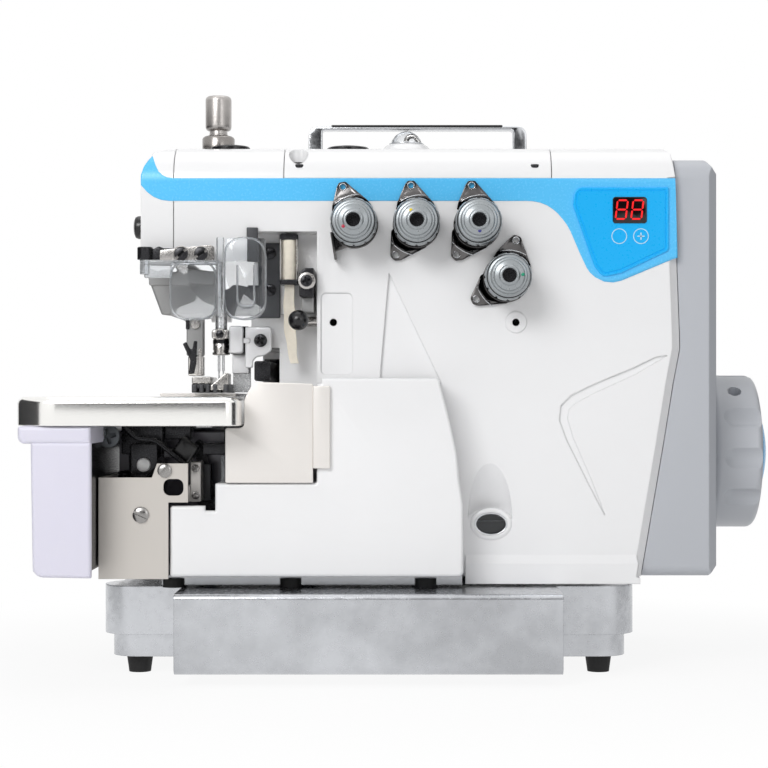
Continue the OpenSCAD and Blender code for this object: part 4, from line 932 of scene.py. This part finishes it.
# ---- Thread pocket --------------------------------------------------------------------------------
# Left of the column lie a blackened plate with two screws, the felt roll in its clip with the wick that
# hangs from it, a small guide block with a cross screw, and the release lever with its black ball.
plate_tab = [(-108, 216.6), (-93.9, 216.6), (-93.9, 232), (-104.6, 232), (-108, 228)]
thread_plate = several([block((-94, -78.2), (211.6, 256.7), 0.8, 70.1, 71.9, 0.3, 0.5),
                        plate(plate_tab, (2, 0.3, 0.3, 1, 1), 70.1, 71.9, 0.3, 0.5),
                        block((-96.8, -90.2), (243.4, 264.2), 0.5, 90.05, 92.6, 0.3, 0.6)])
head_grey = finish("dark_plate", (74, 75, 78), metal=0.5, rough=(0.36, 0.46), grain=(1300, 2e-5),
                   blotch=(20, 0.1))
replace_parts(put("thread_plate", *thread_plate, "machine", "black_oxide", head_grey), "head_plate")
FELT_X = -72.4
dress(felt, "felt_wick")
posts = [tube([(x, -84.6, 231.4), (x, -84.6, 260.6)], 0.75, 12) for x in (-77.1, -67.6)]
clip_parts = posts + [block((-77.7, -67.1), (257.6, 261.0), 1.0, 72, 85.4, 0.4, 0.9),
                      block((-77.7, -67.1), (231.0, 234.0), 0.8, 72, 85.4, 0.4, 0.9)]
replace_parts(put("felt_clip", *several(clip_parts), "machine", "black_oxide", oxide), "felt_holder")
put("felt_posts", *several([tube([(x, -85.2, 234.0), (x, -85.2, 257.6)], 0.6, 12) for x in (-77.2, -67.5)]),
    "machine", "nickel", bright)


def hanging_wick(steps=60):
    """Soft strip that hangs from the clip, with t from 0 at the clip to 1 at its foot: its middle line leans
    to the right by 3.2 mm * t^3 with a slight ripple, and half its width in millimetres is
    2.9 + 0.9 * sin^2(pi * t) - 0.5 * t."""
    t = np.linspace(0, 1, steps)
    middle = FELT_X + 3.2 * t ** 3 + 0.25 * np.sin(t * 19)
    half = 2.9 + 0.9 * np.sin(t * math.pi) ** 2 - 0.5 * t
    z = 232 - 47.6 * t
    ring = np.array([(-1, -1), (1, -1), (1, 1), (-1, 1)])
    wave = -80 + 0.3 * np.cos(t * 13)
    points = np.stack([np.stack([middle + half * a, wave + 1.3 * b, z], -1) for a, b in ring], 1)
    last = 4 * steps - 4
    faces = strips(steps, 4) + [[3, 2, 1, 0], [last, last + 1, last + 2, last + 3]]
    return points.reshape(-1, 3), faces


roll_profile = [(0, 234), (4.4, 234), (4.6, 234.6), (4.6, 257), (4.4, 257.6), (0, 257.6)]
wick = several([revolve(roll_profile, (FELT_X, -80.2, 0), "top", 48), hanging_wick()])
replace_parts(put("felt_and_wick", *wick, "machine", "felt", felt), "felt_wick")
block_outline = [(-65.6, 223.2), (-57.1, 223.2), (-57.1, 240), (-62.4, 240), (-65.6, 237.2)]
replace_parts(put("guide_block", *plate(block_outline, (1, 0.6, 0.6, 1.5, 1.5), 70.2, 97.6, 0.4, 0.8),
                "machine", "black_oxide", oxide), "guide_bracket")
put("guide_block_foot", *block((-64.6, -57.2), (214.2, 223.2), (2, 0.5, 0.3, 0.3), 70.2, 90, 0.3, 0.8),
    "machine", "iron_grey", iron)
GUIDE_SCREW = (-61.2, 232.4)
put("guide_screw_ring", *revolve([(3.4, 97.6), (5.2, 97.6), (5.2, 98.6), (4.8, 99.2), (3.4, 99.4)],
                                 (GUIDE_SCREW[0], 0, GUIDE_SCREW[1]), "front", 64), "machine",
    "nickel", bright)
RELEASE_X, RELEASE_Z = -66, 209.4
lever = several(
    [revolve([(0, -69), (2.6, -69), (3, -68.5), (3, -51), (0, -51)], (0, -74, RELEASE_Z), "side", 48),
     tube([(RELEASE_X, -74, RELEASE_Z), (RELEASE_X, -93, RELEASE_Z)], [2.6, 2.0], 24)])
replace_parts(put("release_pin", *lever, "release", "nickel", bright), "release_lever")
ball_arc = np.linspace(-math.pi / 2 + 0.28, math.pi / 2, 24)
ball = np.vstack(
    [[(0, 97 - 5.77)], np.stack([6 * np.cos(ball_arc), 97 + 6 * np.sin(ball_arc)], -1)[:-1], [(0, 103)]])
put("release_ball", *revolve(ball, (RELEASE_X, 0, RELEASE_Z), "front", 64), "release", "black_plastic",
    black_plastic)


# ---- Needle bar, presser and knives ---------------------------------------------------------------
# A ground steel needle bar carries two needles in a plated clamp; beside it hangs the presser foot on its
# grey arm, and on the other side the upper knife is clamped under two bright plates by a cross screw.
NEEDLE_AXIS = (-114.5, -62, 0)
dress(ground, "needle_bar", "needles", "upper_knife", "lower_knife", "main_feed_dog",
      "differential_feed_dog", "shaft_bearings")
dress(satin, "throat_plate")
dress(iron, "needle_rocker", "motor_rotor")
clamp_profile = [(0, 189.6), (4.2, 189.6), (5.3, 190.0), (5.3, 191.2), (4.6, 191.6), (4.6, 192.4),
                 (5.0, 192.8), (5.0, 196.6), (4.7, 197.0), (4.4, 197.4), (4.4, 198.4), (4.8, 198.8),
                 (4.8, 204.4), (4.2, 205), (0, 205)]
collar = block((-119.6, -109.4), (199.2, 204.9), 1.6, 62, 69.6, 0.4, 0.8)
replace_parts(put("needle_clamp_body", *several([revolve(clamp_profile, NEEDLE_AXIS, "top", 72), collar]),
                "needle_assembly", "nickel", bright), "needle_clamp")
put("needle_clamp_ring",
    *revolve([(3.62, 196.7), (5.05, 196.7), (5.05, 198.7), (3.62, 198.7)], NEEDLE_AXIS, "top", 72),
    "needle_assembly", "black_oxide", oxide)
put("needle_clamp_screw", *screw(NEEDLE_AXIS[0], 202.0, 69.6, 2.6, 30, "slot", 1.8), "needle_assembly",
    "black_oxide", oxide)
put("needle_clamp_nut", *revolve([(2.65, 69.6), (3.9, 69.6), (3.9, 70.8), (3.5, 71.2), (2.65, 71.2)],
                                 (NEEDLE_AXIS[0], 0, 202.0), "front", 6), "needle_assembly",
    "nickel", bright)

arm_outline = [(-149.9, 213.8), (-123, 213.8), (-121, 220), (-121, 238.3), (-157.9, 238.3), (-157.9, 235.5)]
# behind arm_step the underside is raised to rear_z, where the arm runs back over the bed
arm_mass = plate(arm_outline, (1.5, 1.5, 3, 1.5, 1, 1), -39.6, 67.6, 1.2, 1.6)
arm_step, rear_z = -52, 217
rear = (arm_mass[0][:, 1] > arm_step) & (arm_mass[0][:, 2] < rear_z)
arm_mass[0][rear, 2] = rear_z + (arm_mass[0][rear, 2] - rear_z) * 0.02
leg_parts = [block((-157.4, -121.4), (231.4, 238.0), 1.2, 67.4, 68.6, 0.2, 0.6),
             plate([(-134.9, 189.2), (-124.7, 189.2), (-124.7, 212.8), (-126.6, 217.8), (-144.8, 217.8),
                    (-144.8, 213.4), (-134.9, 210)], (1, 1, 3, 1, 1, 1.5, 3), 58.2, 67.8, 0.5, 0.9)]
arm_pin = revolve([(0, -153), (4.6, -153), (5, -152.6), (5, -116.4), (4.6, -116), (0, -116)],
                  (0, 52, 222), "side", 64)
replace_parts(put("presser_arm_casting", *several([arm_mass, *leg_parts, arm_pin]), "presser", "iron_grey",
                iron), "presser_arm")
put("presser_pin_head",
    *revolve([(0, 67.7), (2.9, 67.7), (2.9, 69.4), (2.5, 69.9), (0, 70)], (-129.4, 0, 208), "front", 48),
    "presser", "nickel", bright)
hook = [(-135.2, 205), (-133, 205), (-133, 211.6), (-128, 211.6), (-128, 214.6), (-135.2, 214.6)]
put("presser_hook", *plate(hook, (0.6, 0.6, 0.3, 1.6, 1.6, 2.2), 66.6, 69.0, 0.3, 0.6), "presser",
    "black_oxide", oxide)
foot_parts = [block((-133.9, -124.7), (177.2, 189), 0.8, 58.1, 67.8, 0.4, 0.8),
              block((-130, -118.7), (172, 176.4), 0.7, 44, 83.8, 0.4, 0.8),
              plate([(-118.8, 168.4), (-110.4, 168.4), (-108, 171.8), (-108, 178.6), (-110.2, 178.6),
                     (-118.8, 171.0)], (0.4, 1, 1, 1, 1, 1), 68, 85.4, 0.4, 0.6)]
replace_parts(put("presser_foot_steel", *several(foot_parts), "presser", "nickel", bright), "presser_foot")
needle_slot = (56.4, 66.4)
heel, toe = 40.2, 85.8
bars = ((-129.9, 3.2, heel, toe), (-125.6, 3.0, heel, toe), (-121.6, 2.6, heel, toe),
        (-117.4, 3.0, heel, needle_slot[0]), (-117.4, 3.0, needle_slot[1], toe), (-111.2, 3.2, heel, toe))
toes = [block((x, x + w), (166.9, 172.1), 0.4, back, front, 0.3, 1.0) for x, w, back, front in bars]
toes += [block((-129.6, -108.2), (169.4, 172.0), 0.4, back, front, 0.3, 0.6)
         for back, front in ((48, needle_slot[0]), (needle_slot[1], 84.6))]
put("presser_sole", *several(toes), "presser", "black_oxide", head_grey)
finger = [(-137.2, 196.4), (-135.0, 197.6), (-131.6, 191.8), (-130.4, 198.4), (-128.2, 198.0),
          (-128.9, 184), (-130.2, 178.4), (-133.6, 178.0), (-132.6, 186.6)]
put("presser_finger", *plate(finger, (0.7, 0.7, 0.8, 0.8, 0.8, 1, 0.8, 0.8, 1), 66, 68.2, 0.4, 0.7),
    "presser", "black_oxide", oxide)
put("presser_spring", *block((-127.6, -125.6), (177.4, 193.6), 0.3, 68.1, 69.1, 0.3, 0.4), "presser",
    "nickel", bright)

KNIFE_PIVOT = (0, 18, 180)
rod_profile = [(0, -95), (5.6, -95), (6, -94.6), (6, -62.4), (5.6, -62), (0, -62)]
ring_profile = [(6.02, -94), (8.6, -94), (9, -93.6), (9, -82.4), (8.6, -82), (6.02, -82)]
knife_backs = several(
    [revolve(rod_profile, KNIFE_PIVOT, "side", 64), revolve(ring_profile, KNIFE_PIVOT, "side", 64),
     block((-94, -84.5), (174, 186), 1.5, -12, 69.4, 0.6, 0.6),
     block((-108.4, -97.2), (190.2, 206.8), 0.8, 56.2, 69.4, 0.4, 0.4)])
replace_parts(put("knife_lever", *knife_backs, "knife_assembly", "ground_steel", oxide), "knife_arm")
front_plate = [(-99.2, 181.8), (-94.6, 181.8), (-94.6, 185.8), (-92.6, 188.2), (-87.4, 189.2),
               (-83.4, 192.2), (-83.4, 206.4), (-99.2, 206.4)]
white_steel = finish("knife_plates", (232, 232, 234), metal=0.3, rough=(0.34, 0.42), grain=(1100, 4e-6),
                     blotch=(12, 0.03), soft_edge=0.0006)
put("knife_plates",
    *several([plate(front_plate, (0.8, 1.2, 1.5, 2, 3, 3, 2.2, 0.8), 69.5, 72.2, 0.3, 0.8),
              block((-108.8, -100.4), (190.4, 207.0), 1.8, 69.4, 73.4, 0.3, 1.4),
              block((-107.4, -97.4), (178.4, 190.2), 0.8, 58.9, 66.4, 0.3, 0.8),
              plate([(-100.2, 196.6), (-96.8, 196.6), (-95.9, 198.1), (-96.8, 199.6), (-100.2, 199.6)], 0.5,
                    72, 73.4, 0.3, 0.5)]), "knife_assembly", "ground_steel", white_steel)
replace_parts(put("knife_cross_screw", *screw(-89.9, 198.2, 72.2, 3.9, 38, "cross", 2.4, 0.3),
                "knife_assembly", "black_oxide", oxide), "knife_screw")


# ---- Loopers and their surroundings ---------------------------------------------------------------
# Under the cloth plate sit blackened steel brackets, the latch lever of the plate with its moulded cap,
# the two looper levers, a bright thread guide on two small screws and the holder of the lower knife.
dress(oxide, "lower_looper", "upper_looper")
corner_plate = [(-165, 117.6), (-155.2, 117.6), (-148.8, 123.2), (-148.6, 137.4), (-165, 137.4)]
bracket_parts = [plate(corner_plate, (2.5, 5, 5, 1, 2), 62, 96.6, 0.5, 1.0),
                 block((-172, -147.3), (130.2, 147.4), 0.8, 62, 81.8, 0.4, 0.8),
                 block((-147.2, -131.2), (139, 147.4), 0.8, 62, 76.8, 0.4, 0.8),
                 block((-146, -134), (128.4, 134), 0.8, 66, 91.8, 0.4, 0.8)]
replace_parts(put("looper_bracket_steel", *several(bracket_parts), "machine", "black_oxide", oxide),
            "looper_bracket")
latch_path = [(-167.6, -99.4, 146.6), (-161.4, -99.4, 140.3), (-150.8, -99.4, 139.2), (-146.6, -99.6, 136.6),
              (-131.6, -99.8, 124.4)]
put("latch_lever", *tube(smooth_path(latch_path, 2.4, 6), 1.5, 14), "machine", "black_oxide", oxide)
cap_corners = np.array([(-6.2, -6.8), (6.2, -6.8), (6.2, 6.8), (-6.2, 6.8)])
tilt = math.radians(-35)
cap_turn = np.array([[math.cos(tilt), math.sin(tilt)], [-math.sin(tilt), math.cos(tilt)]])
cap_corners = cap_corners @ cap_turn + (-133.2, 132.6)
put("latch_cap", *plate(cap_corners, 2.2, 84, 94.6, 0.4, 1.6), "machine", "black_plastic", black_plastic)
pin_profile = [(0, 97), (3.9, 97), (4.15, 97.3), (4.15, 98.8), (3.8, 99.5), (3.0, 99.8), (0, 99.9)]
pin_steel = finish("plate_pin", (238, 238, 238), metal=0.3, rough=(0.3, 0.4), grain=(900, 4e-6))
put("plate_pin", *revolve(pin_profile, (-156.7, 0, 124.6), "front", 64), "machine", "nickel", pin_steel)
guide_plate = block((-130.4, -124.2), (102.4, 126.0), 0.8, 69.1, 87.0, 0.2, 0.5)
guide_arm = block((-134.4, -131.9), (101.7, 111.5), 0.4, 44, 71.8, 0.3, 0.4)
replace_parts(put("thread_guide_plate", *several([guide_plate, guide_arm]), "machine", "nickel", satin),
            "looper_thread_guide")
put("thread_guide_block", *block((-124.8, -119.6), (102.4, 124.6), 1.0, 66, 71.0, 0.4, 1.0), "machine",
    "black_oxide", head_grey)
holder_parts = [plate([(-123.4, 130.2), (-106.3, 130.2), (-106.3, 135), (-108.4, 137.1), (-123.4, 137.1)],
                      (0.8, 1.4, 1.4, 1.4, 0.8), 72.1, 87.8, 0.4, 0.9),
                block((-110.7, -101.6), (137, 147.2), 0.8, 74, 87.2, 0.4, 0.9),
                block((-101.8, -90), (143.3, 147.2), 0.8, 66, 87.2, 0.4, 0.9),
                revolve([(0, 87), (4.6, 87), (5.0, 87.6), (5.0, 92.6), (4.4, 93.4), (0, 93.6)],
                        (-102.6, 0, 141.6), "front", 48)]
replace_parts(put("knife_holder_steel", *several(holder_parts), "machine", "black_oxide", oxide),
            "knife_holder")
put("fabric_guide_strip", *shell([(-112.1, 107.6), (-109.7, 107.6), (-109.7, 130), (-112.1, 130)], 0.5,
                                 slab(89.2, 90.2, 0.2, 0.3), "front", hole=(-110.9, 109.8, 0.6)), "machine",
    "clear_plastic", milky)
SPRING_AXIS = (-171.5, -72, 0)
spring_angle = np.linspace(0, 2 * math.pi * 6, 150)
spring_path = np.stack([SPRING_AXIS[0] + 3.4 * np.cos(spring_angle),
                        SPRING_AXIS[1] + 3.4 * np.sin(spring_angle), 120 - spring_angle * 0.32], -1)
put("plate_spring", *tube(spring_path, 0.8, 8), "machine", "black_oxide", oxide)
seat_profile = [(0, 100), (6.5, 100), (7, 100.6), (7, 106.6), (6.4, 107.4), (0, 107.6)]
put("spring_seat", *revolve(seat_profile, SPRING_AXIS, "top", 48), "machine", "black_oxide", oxide)


# ---- Screws ---------------------------------------------------------------------------------------
# Slotted and cross-recessed screws with domed heads: bright ones on the side cover and thread guide,
# blackened ones on the guard bracket, thread plate and guide block, and a big grey one on the looper bracket.
screw_steel = finish("screw_steel", (158, 156, 154), metal=1.0, rough=(0.2, 0.3), grain=(900, 3e-6),
                     blotch=(60, 0.02), soft_edge=0.0001)
bright_heads = [screw(-141.6, 122.1, 120, 4.1, 48), screw(-155.3, 96.6, 120, 4.7, -24)]
bright_heads += [screw(-127.4, z, 87.0, 2.3, 40, "cross", 1.2, 0.3) for z in (106.2, 122.2)]
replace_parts(put("bright_screw_heads", *several(bright_heads), "machine", "nickel", screw_steel),
            "bright_screws")
dark_heads = [screw(*GUARD_SCREWS[0], 101.0, 4.0, 42, "slot", 2.0, 0.25),
              screw(*GUARD_SCREWS[1], 101.0, 4.0, 30, "slot", 2.0, 0.25),
              screw(-84.3, 250.5, 72.0, 3.6, 20, "slot", 2.0, 0.3),
              screw(-84.3, 228.4, 72.0, 3.6, -40, "slot", 2.0, 0.3),
              screw(*GUIDE_SCREW, 98.0, 3.5, 20, "cross", 2.4, 0.3)]
put("dark_screw_heads", *several(dark_heads), "machine", "black_oxide", oxide)
big_grey = finish("phosphated", (98, 102, 106), metal=0.5, rough=(0.4, 0.5), grain=(900, 2e-5),
                  blotch=(30, 0.12))
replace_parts(put("bracket_cross_screw", *screw(-177.2, 141.4, 96.2, 6.6, 12, "cross", 3.6, 0.18), "machine",
                "iron_grey", big_grey), "black_screws")


# ---- Cloth plate, chute and covers ----------------------------------------------------------------
# The cloth plate is a polished steel pressing with a deep rolled rim; the chute under it is moulded in
# pale plastic, beside a dark sheet on the bed's side that is painted shade. The opening cover is a white
# moulding that carries a satin steel fabric plate.
plate_corners = [(-225, -150), (-97, -150), (-97, -78), (-151.5, -78), (-151.5, 58), (-225, 58)]
plate_rings = np.vstack(
    [[(2, 162.5), (2, 148.4), (1.6, 148.0), (0.4, 148.0)], slab(148.2, 164.5, 0.3, 4.2, 6)])
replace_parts(put("cloth_plate_pressing", *shell(plate_corners, (26, 9, 2, 1.2, 9, 12), plate_rings, "top",
                                               15), "swing_plate", "ground_steel", polished), "cloth_plate")

chute_plastic = finish("chute_plastic", (226, 224, 238), rough=(0.34, 0.42), grain=(800, 1e-5),
                       blotch=(8, 0.02), Subsurface_Weight=0.15, Subsurface_Radius=(0.01, 0.01, 0.012))
dress(nickel, "side_cover")
chute_front = plate([(-212.6, 63), (-179.6, 62.4), (-179.6, 139), (-213.8, 139)], (6, 1, 1, 1), 144.6,
                    147.6, 0.4, 2.2, 6)
chute_wall = shell([(-146, 66), (20, 66), (20, 139), (-146, 139)], (0.5, 3, 1, 0.5),
                   slab(-212.5, -209.7, 0.6, 0.4), "side")
# the wall leans out by 1 mm over its height
chute_wall[0][:, 0] -= (chute_wall[0][:, 2] - 65) / 74
chute_rim = block((-221, -179.9), (138, 147.9), (4, 1, 1, 1.5), -20, 148, 0.6, 2.4, 6)
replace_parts(put("chute_moulding", *several([chute_front, chute_wall, chute_rim]), "swing_plate",
                "chute_plastic", chute_plastic), "chute_cover")
# a dark sheet on the bed's side beside the chute, as painted shade where the bed side lies in shadow
put("bed_side_painted_shade",
    *shell([(-143, 66), (18, 66), (18, 147), (-143, 147)], 2.0, slab(-182.3, -180.8, 0.2, 0.4), "side"),
    "machine", "black_oxide", oxide)


def opening_cover():
    """Hollow moulding carried along its outline; left of x = -113 it is only the front wall, so there every
    level behind the wall is brought forward to the wall's own back."""
    wall_back, wall_left = -115, -112.9
    corners = [(-139, 60.7), (30, 60.7), (29.9, 102.2), (27.7, 116.5), (26.3, 131.5), (22.6, 149.1),
               (18.3, 165.5), (15.9, 175.3), (-52, 175.3), (-52, 172), (-54.5, 172), (-54.5, 114.6),
               (-113, 114.6), (-113, 98.9), (-118.6, 98.9), (-118.6, 101.7), (-139, 101.7)]
    radii = (2, 3, 8, 20, 20, 20, 20, 2.5, 0.8, 0.3, 0.3, 1.5, 1.0, 0.3, 0.3, 0.3, 2.0)
    points, faces = shell(corners, radii,
                          np.vstack([[(2, 115), (2, 91.4)], slab(91, 118, 0.4, 2.0, 5)]), "front")
    behind = (points[:, 0] < wall_left) & (points[:, 1] > wall_back)
    points[:, 1] = np.where(behind, wall_back, points[:, 1])
    return points, faces


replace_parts(put("opening_cover_moulding", *opening_cover(), "opening_cover", "white_enamel", enamel),
            "front_cover")
fabric_corners = [(-107, 114.9), (-56.5, 114.9), (-56.5, 172), (-90.6, 173), (-96, 163), (-96, 146.5),
                  (-107, 146.5)]
strip_corners = [(-56.5, 123.2), (-46.6, 123.2), (-46.6, 170.7), (-56.5, 170.7)]
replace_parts(put("fabric_plate_pressing",
                *several([plate(fabric_corners, (1, 0.6, 0.6, 3, 6, 3, 1.5), 118, 119.5, 0.2, 0.5),
                          plate(strip_corners, 0.8, 118, 121, 0.2, 0.7)]), "opening_cover", "ground_steel",
                satin), "fabric_plate")
